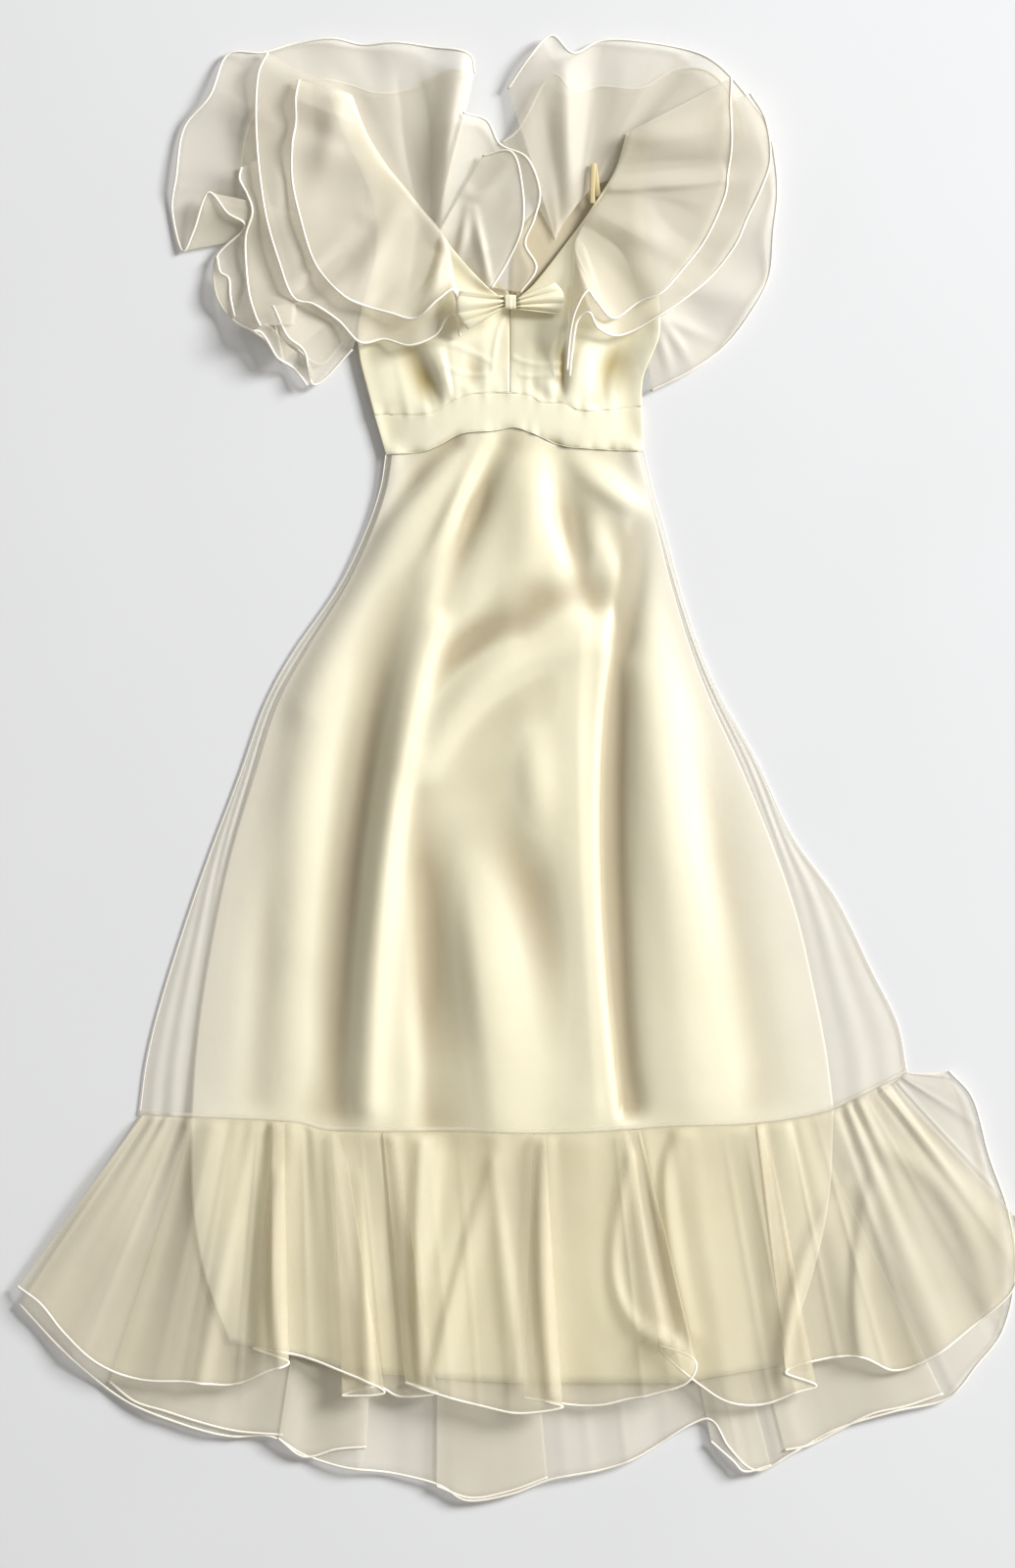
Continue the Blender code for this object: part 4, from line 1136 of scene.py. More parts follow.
path = np.stack([smooth(HANGER[name], RIBBON_STEPS) for name in ("x", "y", "rise")], axis=-1)
path[:, 2] += read(widened(ground), path[:, :2]).max() + SATIN_ROOM
turn = np.linspace(0, 2 * np.pi, RIBBON_SIDES, endpoint=False)[None, :, None]
along = np.gradient(path, axis=0)
along /= np.linalg.norm(along, axis=1, keepdims=True)
flat_way = np.array((1.0, 0.0, 0.0))
thick_way = np.cross(along, flat_way)
ribbon = (
    path[:, None]
    + flat_way * np.cos(turn) * RIBBON_WIDTH / 2
    - thick_way[:, None] * np.sin(turn) * RIBBON_PLY
)
# The ribbon's satin is a darker copy: painted shade inside the shoulder
ribbon_satin = make_satin("shaded satin ribbon", "#DCCB9C", "#CDB985", "#A08850")
cloth("hanger_loop", ribbon, RIBBON_WALL, ribbon_satin, around=True)
draw_in(np.stack((path - (RIBBON_WIDTH / 2, 0, 0), path + (RIBBON_WIDTH / 2, 0, 0))), SATIN_ROOM)

# %% [markdown]
# ## Satin underskirt
#
# The underskirt is an A-line of satin with a tail that hangs down behind the flounce. Both halves come
# from one plan: the front needs fine points for its folds, and the back, which is flat and hidden, takes
# every fourth line of it and is a little narrower, so that it never shows beside the front.

# %% Underskirt plan and back
BACK_SHARE = 0.975
UNDER_ACROSS = 241
TAIL_DOWN = 31
UNDER_HEM = table(
    "x y",
    (-340, -1076), (-250, -1096), (-150, -1116), (0, -1127), (200, -1127), (330, -1104),
)

upper = bend_to_seams(across_skirt(UNDERSKIRT, UNDER_ACROSS, SKIRT_DOWN), BAND_BOTTOM, FLOUNCE_SEAM)
tail = bend_to_seams(across_skirt(TAIL, UNDER_ACROSS, TAIL_DOWN), FLOUNCE_SEAM, UNDER_HEM)
plan = np.concatenate((upper, tail[:, 1:]), axis=1)
side = from_middle(UNDER_ACROSS)
back = plan[::4] * (BACK_SHARE, 1)
fade = np.linspace(1, 0, back.shape[1])[None, :] ** 6
under_back = with_height(back, settle(back, side_rise(side[::4]) * fade, SATIN_ROOM))
cloth("underskirt_back", under_back, SATIN_WALL, lining_satin)
draw_in(under_back, SATIN_ROOM)

# %% [markdown]
# ## Folds of the underskirt
#
# The front swells over the air and cloth inside, and the long folds that make the gown's shape lie in
# it: one deep fold from the waist to the hem, broad soft ones on the left, and short ones that run out of
# the midriff seam. Each is a row of the table. The swelling dies out towards the side seams.

# %% Underskirt front
SKIRT_PUFF = 15 * MM
FOLD_STRENGTH = 1.3
TAIL_SHARES = (0, 0.1, 0.7, 1)
PUFF_SHARES = (0.75, 1, 1, 0.4)
SKIRT_FOLDS = table(
    FOLD_COLUMNS,
    (148, -128, 113, -430, 134, -800, 8, 24, -6, -17, -12),
    (94, -150, 78, -400, 98, -800, 40, 14, 2, 4, 3),
    (165, -200, 180, -425, 215, -790, 36, 44, 2, 9, 4),
    (-100, -110, -180, -420, -208, -800, 34, 28, -1, -12, -8),
    (-57, -130, -134, -430, -166, -800, 26, 18, 2, 12, 7),
    (-94, -440, -98, -590, -92, -815, 18, 38, 0, -8, -5),
    (-56, -470, -36, -630, -14, -815, 26, 44, 0, 8, 5),
    (-20, -430, 30, -560, 72, -760, 34, 34, -1, -5, -2),
    (22, -330, 28, -420, 30, -510, 22, 22, 1, 5, 1),
    (-100, -405, -28, -306, 100, -262, 18, 28, 4, 10, 3),
    (-100, -350, -50, -262, 10, -240, 20, 24, 0, -5, -2),
    (-10, -214, 46, -208, 108, -200, 24, 24, -1, -4, -4),
    (-40, -14, -140, -128, -250, -330, 22, 30, 2, 10, 6),
    (-66, -26, -122, -80, -172, -130, 12, 13, -4, -9, -4),
    (-8, -28, -42, -110, -78, -215, 15, 17, -3, -10, -4),
    (-28, -16, -66, -100, -105, -175, 9, 11, 1, 4, 1),
    (18, -22, 22, -105, 10, -205, 28, 24, 2, 5, 1.5),
    (58, -40, 72, -125, 98, -215, 20, 22, -3, -11, -7),
    (76, -45, 128, -90, 172, -96, 14, 19, 2, 7, 4),
    (100, -104, 138, -160, 132, -255, 20, 20, -2, -9, -6),
    (205, -300, 256, -520, 298, -790, 28, 32, 0, -6, -4),
    (-205, -200, -246, -400, -272, -610, 28, 36, 1, 6, 2),
    (-262, -420, -286, -600, -300, -790, 20, 24, 0, -5, -4),
)

down = np.linspace(0, 1, plan.shape[1])[None, :]
puff = SKIRT_PUFF * (1 - side ** 4) * np.interp(down, TAIL_SHARES, PUFF_SHARES)
slow = rumples(plan, seed=21, size=110 * MM, depth=1.2 * MM)
slow += rumples(plan, seed=24, size=45 * MM, depth=0.5 * MM)
relief = above_zero(puff + (FOLD_STRENGTH * folds(plan, SKIRT_FOLDS) + slow) * (1 - side ** 8))
under_front = upward(with_height(plan, settle(plan, relief, SATIN_ROOM)))
piece = cloth("underskirt_front", under_front, SATIN_WALL, lining_satin)
draw_in(under_front, SATIN_ROOM)

# %% [markdown]
# ## Painted light at the sides
#
# In the middle of the skirt many layers of satin throw warm light at each other. Towards the side seams
# fewer lie under the front, and it looks whiter. A number on each point paints that into the satin as
# painted light, lighter towards the sides.

# %% Painted light at the sides
PAINTED_LIGHT_MOST = 0.95
PAINTED_LIGHT_POWER = 4

painted_light_share = np.broadcast_to(PAINTED_LIGHT_MOST * np.abs(side) ** PAINTED_LIGHT_POWER, plan.shape[:2])
store = piece.data.attributes.new("pale", "FLOAT", "POINT")
store.data.foreach_set("value", painted_light_share.reshape(-1).astype(np.float32))
print("paling from", round(float(painted_light_share.min()), 2), "to", round(float(painted_light_share.max()), 2))

# %% [markdown]
# ## Sheer overskirt
#
# The organza skirt lies on the satin and follows its folds, so its points are the satin's own, lifted
# a little, and a little more towards the flounce, where the gathers push it up. Being stiffer than
# satin, it bridges the narrowest folds, which a few rounds of averaging give. Beyond the satin, a
# margin of organza alone runs down to the skirt's back at each side seam, a little slack.

# %% Overskirt
GATHER_RISE = 4 * MM
SLACK = 5 * MM
TAUT_ROUNDS = 12
MARGIN = 17
SIDE_SEAM_RADIUS = 0.7 * MM


def margin(edge, outer, down):
    """Columns between the satin's edge and the side seam, a little slack."""
    share = np.linspace(0, 1, MARGIN + 1)[1:, None, None]
    columns = edge * (1 - share) + outer * share
    place = share[..., 0]
    sway = uneven(1, 0.3, 26)(down)
    loose = np.sin(np.pi * place) * (0.3 + 0.7 * np.sin(np.pi * (2.4 * place + sway)) ** 2)
    columns[..., 2] += SLACK * loose * down
    return columns


down = np.linspace(0, 1, SKIRT_DOWN)[None, :]
clear = (SATIN_ROOM + ORGANZA_ROOM) / 2 + GAP + GATHER_RISE * down ** 3
inner = under_front[:, :SKIRT_DOWN].copy()
inner = inner[inner[:, 0, 0].argsort()]
lowest = inner[..., 2] + clear
taut = lowest
for _ in range(TAUT_ROUNDS):
    taut = np.maximum(averaged(taut), lowest)
inner[..., 2] = taut
west, east = skirt_back[0] + (0, 0, ORGANZA_ROOM + GAP), skirt_back[-1] + (0, 0, ORGANZA_ROOM + GAP)
if west[0, 0] > east[0, 0]:
    west, east = east, west
skirt_front = np.concatenate((margin(inner[:1], west, down)[::-1], inner, margin(inner[-1:], east, down)))
seams = [
    rolled_hem("seam_side_left", west, SIDE_SEAM_RADIUS),
    rolled_hem("seam_side_right", east, SIDE_SEAM_RADIUS),
]
cloth("skirt_front", skirt_front, ORGANZA_WALL, taut_organza)
wait(skirt_front, ORGANZA_ROOM)

# %% [markdown]
# ## Front flounce
#
# The front flounce is gathered on to the overskirt's lower edge. Six of its billows have been pushed
# over on themselves when the gown was laid down: there the table's hem places run forwards, back and
# forwards again, one above the other. Narrow ridges and troughs down the cloth are the folds that start
# at the gathers.

# %% Front flounce
FLOUNCE_FRONT = table(
    "seam hem_x hem_y lift",
    (-430, -577, -1014, 2), (-414, -549, -1034, 7), (-398, -522, -1068, 3), (-380, -483, -1103, 8),
    (-355, -435, -1122, 3), (-325, -378, -1124, 9), (-297, -325, -1128, 5), (-280, -285, -1112, 14),
    (-264, -258, -1100, 12), (-276, -300, -1085, 6), (-250, -250, -1093, 1), (-228, -205, -1108, 6),
    (-196, -146, -1135, 15), (-208, -196, -1140, 8), (-182, -156, -1130, 2), (-162, -128, -1142, 4),
    (-136, -84, -1138, 1), (-148, -122, -1125, 8), (-105, -76, -1140, 14), (-60, -36, -1151, 15),
    (-10, 12, -1160, 16), (40, 62, -1152, 15), (28, 16, -1142, 8), (55, 72, -1152, 2),
    (85, 106, -1152, 6), (109, 136, -1145, 9), (127, 164, -1139, 15), (144, 206, -1124, 22),
    (152, 216, -1098, 18), (140, 176, -1082, 10), (146, 184, -1096, 2), (178, 222, -1128, 2),
    (205, 256, -1148, 7), (240, 296, -1151, 3), (274, 334, -1137, 11), (301, 358, -1128, 14),
    (289, 322, -1112, 7), (320, 370, -1098, 1), (340, 412, -1096, 7), (365, 452, -1112, 3),
    (389, 497, -1094, 8), (410, 545, -1058, 3), (425, 588, -1018, 7), (436, 600, -970, 3),
    (444, 591, -930, 2),
)
FLOUNCE_FOLDS = table(
    FOLD_COLUMNS,
    (-302, -828, -332, -976, -361, -1126, 12, 8, 3, 6, 7),
    (-290, -840, -303, -961, -305, -1083, 11, 9, -2, -5, -3),
    (-271, -885, -275, -1014, -264, -1140, 6, 11, 3, 6, 5),
    (-176, -885, -169, -1014, -163, -1130, 10, 5, 2, 5, 5),
    (-142, -855, -135, -991, -127, -1128, 12, 12, -2, -5, -3),
    (-104, -847, -110, -961, -104, -1128, 5, 10, 4, 8, 5),
    (-20, -870, -58, -991, -90, -1121, 6, 15, 3, 7, 6),
    (-20, -870, -2, -1007, 10, -1121, 15, 6, 3, 7, 5),
    (-74, -855, -81, -931, -93, -991, 10, 12, -2, -6, -2),
    (40, -847, 36, -991, 48, -1140, 6, 12, 3, 6, 5),
    (143, -862, 124, -1014, 190, -1079, 8, 8, 3, 7, 8),
    (148, -832, 165, -946, 190, -1068, 9, 8, -6, -9, -6),
    (200, -836, 182, -908, 212, -1068, 6, 13, 4, 8, 5),
    (394, -893, 344, -984, 318, -1120, 9, 6, 3, 6, 5),
    (424, -885, 405, -991, 411, -1100, 6, 12, 3, 6, 4),
    (413, -847, 504, -900, 560, -1030, 12, 14, 2, 6, 3),
)

plan, lift, share = fan(FLOUNCE_FRONT, FLOUNCE_DOWN, below(FLOUNCE_FRONT, skirt_front), 0.25)
waves = gathers(plan, share, seed=31, step=18 * MM, depth=3.4 * MM, reach=0.45)
waves += billows(plan, share, seed=32, step=40 * MM, depth=4 * MM)
waves = above_zero(waves + folds(plan, FLOUNCE_FOLDS), 2 * MM)
height = settle(plan, np.zeros(lift.shape), ORGANZA_ROOM) + lift + waves
height = blend_edge(height, 0, edge_height(plan, 0, skirt_front[:, -1]))
flounce_front = with_height(plan, height)
hem = rolled_hem("hem_flounce_front", flounce_front[:, -1])
print("front flounce made:", round(float(along_hem(plan)[-1]), 2), "m of hem")

# %% [markdown]
# ## Allowance of the flounce seam
#
# Inside the seam the edges of skirt and flounce are turned up together. Three layers of organza lie
# there, and show through as a narrow denser band. It is a strip on the skirt's last two rows, lifted
# clear of them.

# %% Flounce seam
SEAM_BAND = 5 * MM
SAMPLE_COLUMN = 70

row_gap = np.linalg.norm(skirt_front[SAMPLE_COLUMN, -1] - skirt_front[SAMPLE_COLUMN, -2])
above = skirt_front[:, -1:] + (skirt_front[:, -2:-1] - skirt_front[:, -1:]) * SEAM_BAND / row_gap
allowance = np.concatenate((above, skirt_front[:, -1:]), axis=1) + (0, 0, ORGANZA_ROOM)
band = new_piece("seam_flounce", upward(allowance), grid_faces(*allowance.shape[:2]), organza)
give_wall(band, ORGANZA_WALL)
cloth("flounce_front", flounce_front, ORGANZA_WALL, loose_organza)
wait(flounce_front, ORGANZA_ROOM)

# %% [markdown]
# ## Front of the midriff
#
# The midriff's front arches up in the middle. The seams above and below draw it in, so the satin
# puckers a little beside them. A fine roll along each seam stands for the turned-in allowances.

# %% Midriff front
PUCKER = 0.9 * MM
SEAM_ROLL = 0.6 * MM
PUCKER_STEP = 7 * MM
PUCKER_REACH = 6 * MM
PUCKER_SPAN = 0.6


def puckers(x, distance, seed):
    """Small uneven ripples beside a seam."""
    wave = uneven(2 * PUCKER_SPAN, PUCKER_STEP, seed)(x + PUCKER_SPAN)
    return PUCKER * wave * np.exp(-distance / PUCKER_REACH)


plan, side, edge = band_plan(skirt_front)
relief = SKIRT_PUFF * (1 - side ** 4) + rumples(plan, seed=41, size=60 * MM, depth=0.6 * MM)
height = settle(plan, above_zero(relief, MM), SATIN_ROOM)
height = blend_edge(height, -1, edge_height(plan, -1, edge))
from_top = np.abs(plan[..., 1] - plan[:, :1, 1])
from_bottom = np.abs(plan[..., 1] - plan[:, -1:, 1])
height += puckers(plan[..., 0], from_top, 42) + puckers(plan[..., 0], from_bottom, 43)
band_front = with_height(plan, height)
lift = np.array((0, 0, SEAM_ROLL / 2))
rolls = [
    rolled_hem("seam_midriff_top", band_front[:, 0] + lift, SEAM_ROLL, satin),
    rolled_hem("seam_midriff_bottom", band_front[:, -1] + lift, SEAM_ROLL, satin),
]
cloth("midriff_front", band_front, SATIN_WALL, satin)
wait(band_front, SATIN_ROOM)

# %% [markdown]
# ## Front of the bodice
#
# Two halves meet at the middle seam under the bow. A dart below each bust gives the cup its fullness,
# with a deep fold beside it, and the turned-in facing of the neckline shows as a low scalloped ridge.
# The fullness is a smooth swelling between the side seam and the middle, and the rest are rows of folds.

# %% Bodice fronts
BODICE_ACROSS = 81
BODICE_DOWN = 121
BODICE_LEFT = table(
    "outer_x outer_y inner_x inner_y",
    (-159, 7, 0, 31), (-168, 40, 0, 67), (-177, 78, 0, 103), (-177, 115, 0, 134), (-166, 161, -26, 156),
    (-156, 207, -60, 193), (-161, 259, -97, 239), (-182, 310, -140, 294), (-201, 351, -170, 341),
    (-212, 382, -188, 383),
)
BODICE_RIGHT = table(
    "outer_x outer_y inner_x inner_y",
    (155, 17, 0, 31), (157, 52, 0, 67), (175, 98, 0, 103), (175, 139, 2, 134), (170, 178, 29, 161),
    (159, 218, 65, 207), (156, 259, 98, 252), (161, 299, 124, 295), (170, 336, 137, 337),
)
BUST_PUFF = 19 * MM
BUST_HEIGHTS = (0, 0.3, 0.6, 1)
BUST_SHARES = (0.6, 1, 0.5, 0.05)
CUP_SHARE = 0.45
BODICE_FOLDS = table(
    FOLD_COLUMNS,
    (-80, 78, -72, 46, -66, 22, 4, 2.5, 0.8, 1.8, 1.4),
    (-112, 80, -95, 44, -80, 12, 20, 13, -7, -12, -11),
    (64, 104, 62, 60, 61, 20, 9, 4, -2, -8, -8),
    (96, 106, 82, 66, 70, 26, 11, 15, 3, 6, 3),
    (126, 100, 119, 62, 106, 22, 22, 22, -3, -9, -9),
    (146, 60, 142, 36, 134, 12, 12, 12, 0, -3, -4),
    (-115, 86, -75, 90, -23, 69, 2.5, 2.5, 1.2, 1.1, 1.0),
    (-75, 63, -52, 55, -23, 54, 2.5, 2.5, 1.1, 1.0, 1.0),
    (-6, 121, -15, 98, -20, 57, 2.2, 2.2, 1.1, 1.1, 1.0),
    (4, 75, 29, 66, 60, 67, 2.2, 2.2, 1.0, 1.0, 0.9),
    (12, 54, 29, 52, 60, 54, 2.2, 2.2, 0.9, 0.9, 0.8),
    (0, 130, 0, 80, 0, 31, 3, 3, -0.8, -0.8, -0.8),
    (-154, 84, -150, 44, -146, 14, 16, 16, 1, 3, 2),
    (-46, 84, -44, 56, -52, 34, 13, 12, -1, -3, -1),
    (-14, 60, -26, 44, -40, 32, 12, 12, 0.5, 1.6, 1),
    (26, 118, 38, 84, 50, 78, 14, 16, -1, -3, -2),
    (20, 50, 30, 40, 46, 24, 8, 8, 0, -1.5, -2.5),
)

for name, rows, sign in (("bodice_front_left", BODICE_LEFT, -1), ("bodice_front_right", BODICE_RIGHT, 1)):
    plan, side = bodice_plan(rows, sign, BODICE_ACROSS, BODICE_DOWN)
    up = np.linspace(0, 1, BODICE_DOWN)[None, :]
    bust = BUST_PUFF * (1 - side ** 4) * (1 - CUP_SHARE + CUP_SHARE * np.sin(np.pi * side))
    relief = bust * np.interp(up, BUST_HEIGHTS, BUST_SHARES) + folds(plan, BODICE_FOLDS)
    relief += rumples(plan, seed=44, size=50 * MM, depth=0.5 * MM)
    height = settle(plan, above_zero(relief, 2 * MM), SATIN_ROOM)
    height = blend_edge(height, 0, edge_height(plan, 0, band_front[:, 0]))
    height += puckers(plan[..., 0], plan[..., 1] - plan[:, :1, 1], 45)
    half = with_height(plan, height)
    cloth(name, half, SATIN_WALL, satin)
    wait(half, SATIN_ROOM)
done()

# %% [markdown]
# ## Front ruffles
#
# The front parts of the two tiers run from the bow over each shoulder. They are laid on the bodice and
# on the back ruffles, lower tier first, so that its longer hem shows below the upper one. Where a leaf
# stands up near the bow, the hem's lift grows to about two centimetres.

# %% Right front ruffles
FRONT_CREASES = table(
    FOLD_COLUMNS,
    (-146, 362, -128, 322, -103, 266, 8, 5, 5, 8, 3),
    (-178, 224, -218, 172, -280, 116, 10, 16, -2, -6, -3),
    (-170, 236, -205, 196, -262, 150, 12, 12, 2, 4, 2),
    (-104, 246, -96, 196, -122, 132, 14, 12, -2, -5, -2),
    (-78, 206, -84, 168, -96, 128, 10, 8, 3, 5, 2),
    (-120, 262, -150, 214, -176, 140, 14, 14, 1, 4, 2),
    (-200, 380, -212, 320, -236, 250, 16, 16, 2, 4, 1),
    (-262, 360, -268, 290, -262, 220, 14, 14, 0, 3, 1),
    (120, 270, 180, 273, 250, 280, 4, 14, 3, 4, 2),
    (112, 284, 180, 296, 250, 300, 10, 12, -1, -4, -2),
    (98, 214, 114, 184, 130, 140, 20, 18, -3, -8, -3),
    (98, 232, 150, 216, 206, 184, 16, 14, 2, 4, 2),
    (82, 210, 93, 178, 98, 138, 9, 7, 1, 3, 2),
    (140, 332, 180, 330, 250, 344, 12, 16, 2, 4, 2),
    (128, 300, 190, 240, 236, 210, 16, 16, 0, -3, -1),
)

UPPER_FRONT_RIGHT = table(
    RUFFLE_COLUMNS,
    (139, 336, 259, 399, 9), (136, 322, 258, 369, 3), (131, 307, 259, 322, 6), (124, 291, 255, 287, 2),
    (116, 276, 251, 260, 7), (106, 259, 230, 213, 9), (95, 244, 204, 178, 4), (87, 231, 177, 148, 8),
    (80, 218, 150, 137, 5), (76, 207, 121, 118, 9), (76, 196, 100, 138, 17), (76, 184, 90, 148, 21),
    (75, 172, 76, 124, 15), (73, 161, 70, 95, 9), (71, 151, 67, 58, 3),
)
LOWER_FRONT_RIGHT = table(
    RUFFLE_COLUMNS,
    (141, 336, 282, 382, 4), (138, 322, 299, 351, 7), (133, 307, 305, 307, 3), (126, 291, 296, 275, 7),
    (118, 276, 279, 239, 3), (108, 259, 264, 205, 8), (97, 244, 236, 169, 4), (89, 231, 206, 143, 8),
    (82, 218, 172, 120, 5), (78, 207, 130, 99, 8), (77, 196, 104, 106, 14), (77, 185, 93, 124, 19),
    (76, 173, 79, 115, 12), (74, 162, 73, 80, 6), (72, 152, 70, 51, 2),
)
lay_ruffle("ruffle_lower_front_right", LOWER_FRONT_RIGHT, 51, FRONT_CREASES)
lay_ruffle("ruffle_upper_front_right", UPPER_FRONT_RIGHT, 52, FRONT_CREASES)

# %% [markdown]
# ## Left front ruffles
#
# The left side mirrors the right only roughly, as cloth laid down by hand does: it is a little deeper
# and runs up to the higher left shoulder, so it has tables of its own.

# %% Left front ruffles
UPPER_FRONT_LEFT = table(
    RUFFLE_COLUMNS,
    (-60, 147, -61, 136, 2), (-63, 160, -67, 151, 9), (-67, 172, -84, 139, 12), (-68, 186, -110, 118, 6),
    (-70, 200, -139, 124, 11), (-74, 212, -167, 132, 6), (-82, 222, -193, 143, 13),
    (-92, 235, -217, 167, 9), (-104, 250, -232, 193, 3), (-115, 264, -245, 237, 7),
    (-129, 281, -254, 279, 3), (-143, 297, -254, 320, 8), (-156, 315, -250, 347, 3),
    (-170, 343, -250, 375, 6), (-184, 380, -246, 397, 3),
)
LOWER_FRONT_LEFT = table(
    RUFFLE_COLUMNS,
    (-60, 147, -58, 98, 4), (-62, 158, -64, 120, 13), (-65, 168, -73, 120, 11), (-67, 183, -87, 99, 5),
    (-70, 198, -117, 87, 9), (-74, 210, -147, 95, 4), (-80, 221, -175, 91, 9),
    (-88, 232, -200, 116, 5), (-97, 242, -228, 134, 9), (-106, 252, -253, 143, 4),
    (-115, 264, -270, 186, 7), (-129, 281, -285, 239, 3), (-143, 297, -294, 303, 7),
    (-156, 315, -297, 359, 3), (-170, 343, -294, 405, 6), (-184, 380, -283, 430, 3),
)

lay_ruffle("ruffle_lower_front_left", LOWER_FRONT_LEFT, 53, FRONT_CREASES)
lay_ruffle("ruffle_upper_front_left", UPPER_FRONT_LEFT, 54, FRONT_CREASES)

# %% [markdown]
# ## Bow
#
# Two pleated loops of satin close the neckline. Each loop is a strip that runs out from the knot and
# comes back above itself, wider at its end, with pleats that fan out of the knot. A slow drift of the
# pleats across the strip keeps them from being alike.

# %% Bow loops
BOW = table(
    "knot_x knot_y end_x end_y knot_width end_width height pleats",
    (-5, 137, -62, 125, 12, 46, 10, 1.35),
    (7, 135, 64, 143, 11, 38, 10, 1.3),
)
BOW_ACROSS = 61
BOW_TURN = 61
PLEAT_DEPTH = 5.5 * MM
BOW_DRIFT = 0.28
BOW_CURL = 0.2
ROUND_END = 0.16
RISE_AT_KNOT = 0.6
EDGE_DROP = 0.35
PLEAT_FADE = 0.45

side = np.linspace(-1, 1, BOW_ACROSS)[:, None]
turn = np.linspace(0, 1, BOW_TURN)[None, :]
out = np.sin(np.pi * turn) ** 0.7
up = np.where(turn < 0.5, 4 * turn ** 3, 1 - 4 * (1 - turn) ** 3)
loops = []
for name, row in zip(("bow_left", "bow_right"), zip(*BOW.values())):
    x, y, end_x, end_y, knot_width, end_width, height, pleats = row
    way = np.array((end_x - x, end_y - y))
    across = np.array((-way[1], way[0])) / np.hypot(*way)
    half = side * (knot_width + (end_width - knot_width) * out) / 2
    reach = out * (1 - ROUND_END * side ** 2)
    plan = np.array((x, y)) + reach[..., None] * way + half[..., None] * across
    place = side + BOW_DRIFT * uneven(2, 0.7, 60 + len(loops))(side + 1) + BOW_CURL * out
    # The pleats are a count, so they are taken out of millimetres again
    pleat = np.abs(np.sin(np.pi * pleats / MM * place)) - 0.5
    rise = height * up * (RISE_AT_KNOT + (1 - RISE_AT_KNOT) * out) * (1 - EDGE_DROP * side ** 2)
    rise = rise + PLEAT_DEPTH * pleat * (1 - PLEAT_FADE * out) * up
    base = read(widened(ground), plan).max() + SATIN_ROOM
    loop = with_height(plan, base + rise)
    loops.append(loop)
    cloth(name, loop, SATIN_WALL, satin)
for loop in loops:
    draw_in(loop, SATIN_ROOM)

# %% [markdown]
# ## Knot of the bow
#
# The knot is a short band of satin wrapped round the middle of both loops. Its cross-section is a square
# with well rounded corners, so a ring of that shape is repeated across its width, a little smaller at
# both ends and with two faint creases.

# %% Bow knot
KNOT = table("x y width length height", (1, 136, 12, 16, 8))
KNOT_ACROSS = 21
KNOT_AROUND = 56
KNOT_CREASE = 0.15 * MM
KNOT_TAPER = 0.12

x, y, width, length, height = (float(value[0]) for value in KNOT.values())
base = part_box("bow_knot")[0].z
side = np.linspace(-1, 1, KNOT_ACROSS)[:, None]
turn = np.linspace(0, 2 * np.pi, KNOT_AROUND, endpoint=False)[None, :]
full = 1 - KNOT_TAPER * side ** 4
crease = KNOT_CREASE * np.cos(2 * np.pi * side + 0.6 * np.sin(turn))
squared = (np.abs(np.cos(turn)) ** 4 + np.abs(np.sin(turn)) ** 4) ** -0.25
knot_y = y + (length / 2 * full + crease) * squared * np.cos(turn)
knot_z = base + height / 2 + (height / 2 * full + crease) * squared * np.sin(turn)
knot_x = np.broadcast_to(x + side * width / 2, knot_y.shape)
knot = np.stack((knot_x, knot_y, np.maximum(knot_z, base + SATIN_WALL)), axis=-1)
cloth("bow_knot", knot, SATIN_WALL, satin, around=True)

# %% [markdown]
# ## Table
#
# The gown lies on a plain pale surface. It reaches far past the picture, so that a low camera sees no
# edge of it either.

# %% Table top
TABLE_SIZE = 40

bpy.ops.object.select_all(action="DESELECT")
bpy.ops.mesh.primitive_plane_add(size=TABLE_SIZE, location=(0, 0, -0.3 * MM))
floor = bpy.context.object
floor.name = "floor"
table_top, tree, shader = new_cloth_finish("pale table top", "#E0E0E2", {"Roughness": 0.8})
spot = node(tree, "TexCoord").outputs["Object"]
clouds = node(tree, "TexNoise", values={"Scale": 3, "Detail": 2}, links={"Vector": spot})
tree.links.new(mixed(tree, clouds.outputs["Fac"], "#E8E8E9", "#E3E3E3"), shader.inputs["Base Color"])
floor.data.materials.append(table_top)
print("table top", TABLE_SIZE, "m square")

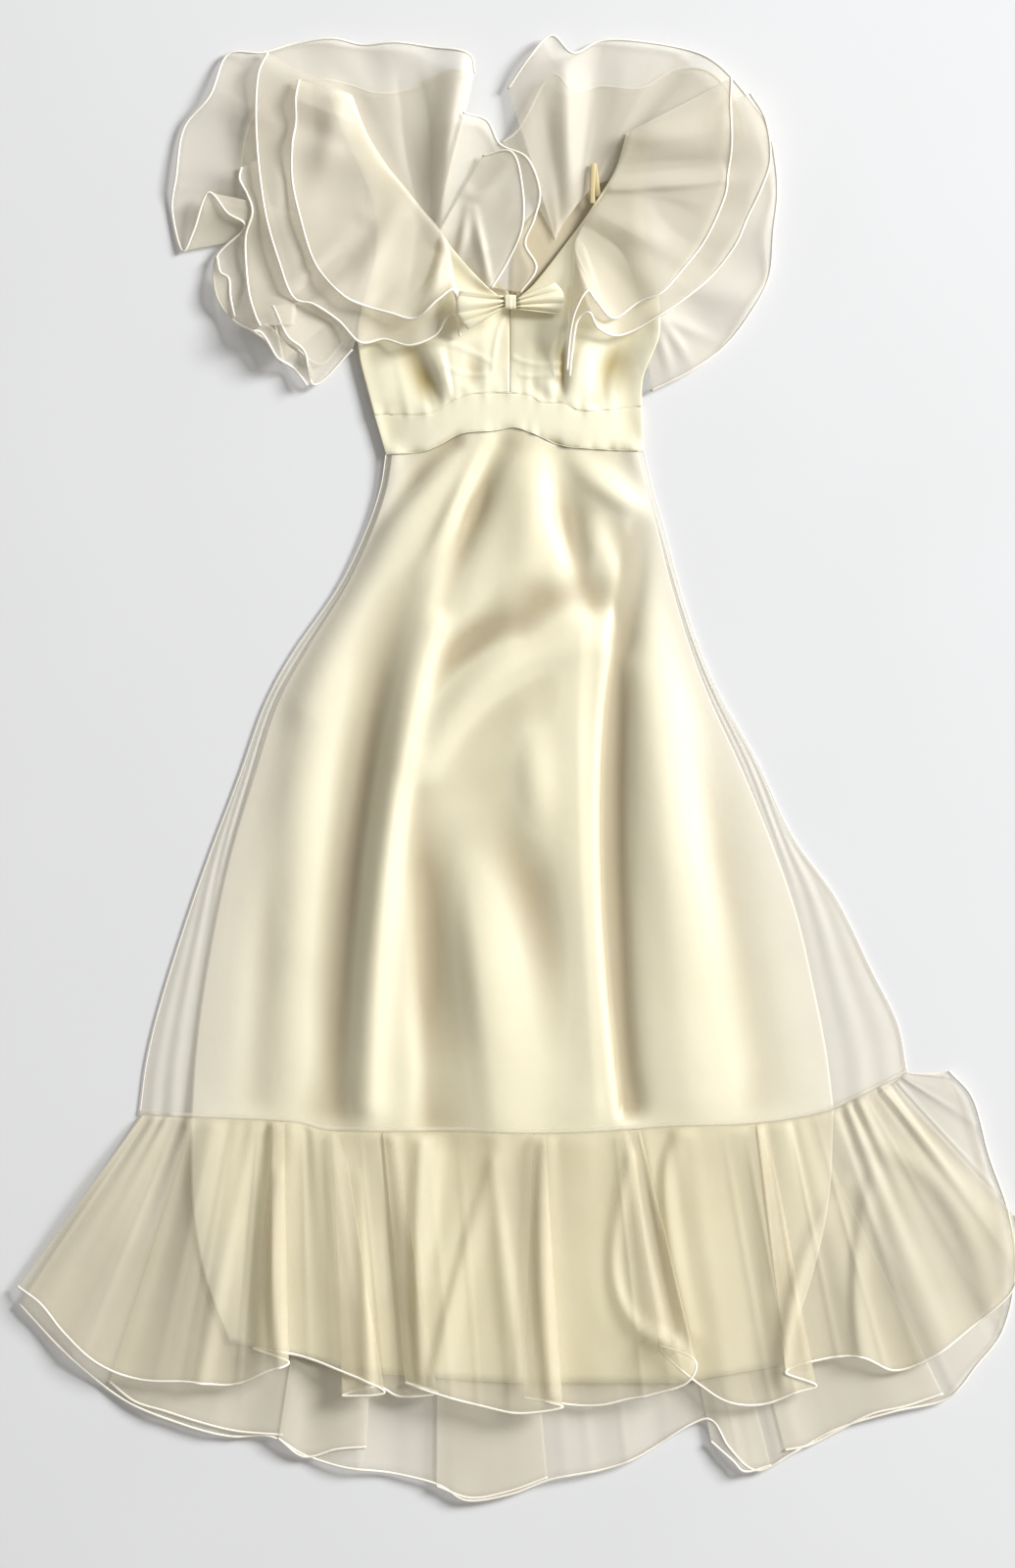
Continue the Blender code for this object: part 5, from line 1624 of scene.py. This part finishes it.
# %% [markdown]
# ## Light
#
# Soft daylight comes from the upper right. A large square lamp stands for the window. It is far away, so
# that the whole gown is lit almost evenly, and low enough to draw out the folds. A pale, slightly warm
# world stands for the light that the room and the gown itself throw back.

# %% Light
MIDDLE = Vector((-2.5 * MM, -425.5 * MM, 0))
WINDOW_SIZE = 4.0
WINDOW_POWER = 2150
WINDOW_PLACE = (9.4, 4.4, 6.0)
ROOM_LIGHT = 0.34
TRANSPARENT_LAYERS = 32  # walls of organza that light may pass one after another

window = bpy.data.objects.new("window light", bpy.data.lights.new("window light", "AREA"))
window.data.shape = "SQUARE"
window.data.size = WINDOW_SIZE
window.data.energy = WINDOW_POWER
window.data.color = (0.96, 0.975, 1.0)
window.location = WINDOW_PLACE
window.rotation_euler = (window.location - MIDDLE).to_track_quat("Z", "Y").to_euler()
bpy.context.collection.objects.link(window)
room = bpy.data.worlds.new("pale room")
room.use_nodes = True
room.node_tree.nodes["Background"].inputs["Color"].default_value = (1.0, 0.98, 0.935, 1.0)
room.node_tree.nodes["Background"].inputs["Strength"].default_value = ROOM_LIGHT
bpy.context.scene.world = room
bpy.context.scene.view_settings.view_transform = "Standard"
bpy.context.scene.cycles.transparent_max_bounces = TRANSPARENT_LAYERS
print("window lamp", round((window.location - MIDDLE).length, 1), "m from the gown")

# %% [markdown]
# ## Camera
#
# The camera hangs above the middle of the picture and looks straight down, as in the photograph. Its
# lens is chosen so that the frame is 1.84 m tall.

# %% Camera
PICTURE_WIDTH = 1036
PICTURE_HEIGHT = 1600
FRAME_TALL = 1.84
CAMERA_UP = 6.0
SENSOR = 36

camera = bpy.data.objects.new("camera", bpy.data.cameras.new("camera"))
camera.location = MIDDLE + Vector((0, 0, CAMERA_UP))
camera.data.sensor_fit = "VERTICAL"
camera.data.sensor_height = SENSOR
camera.data.lens = SENSOR * CAMERA_UP / FRAME_TALL
camera.data.clip_end = 20
bpy.context.collection.objects.link(camera)
bpy.context.scene.camera = camera
print("frame", round(FRAME_TALL * PICTURE_WIDTH / PICTURE_HEIGHT, 3), "x", FRAME_TALL, "m")
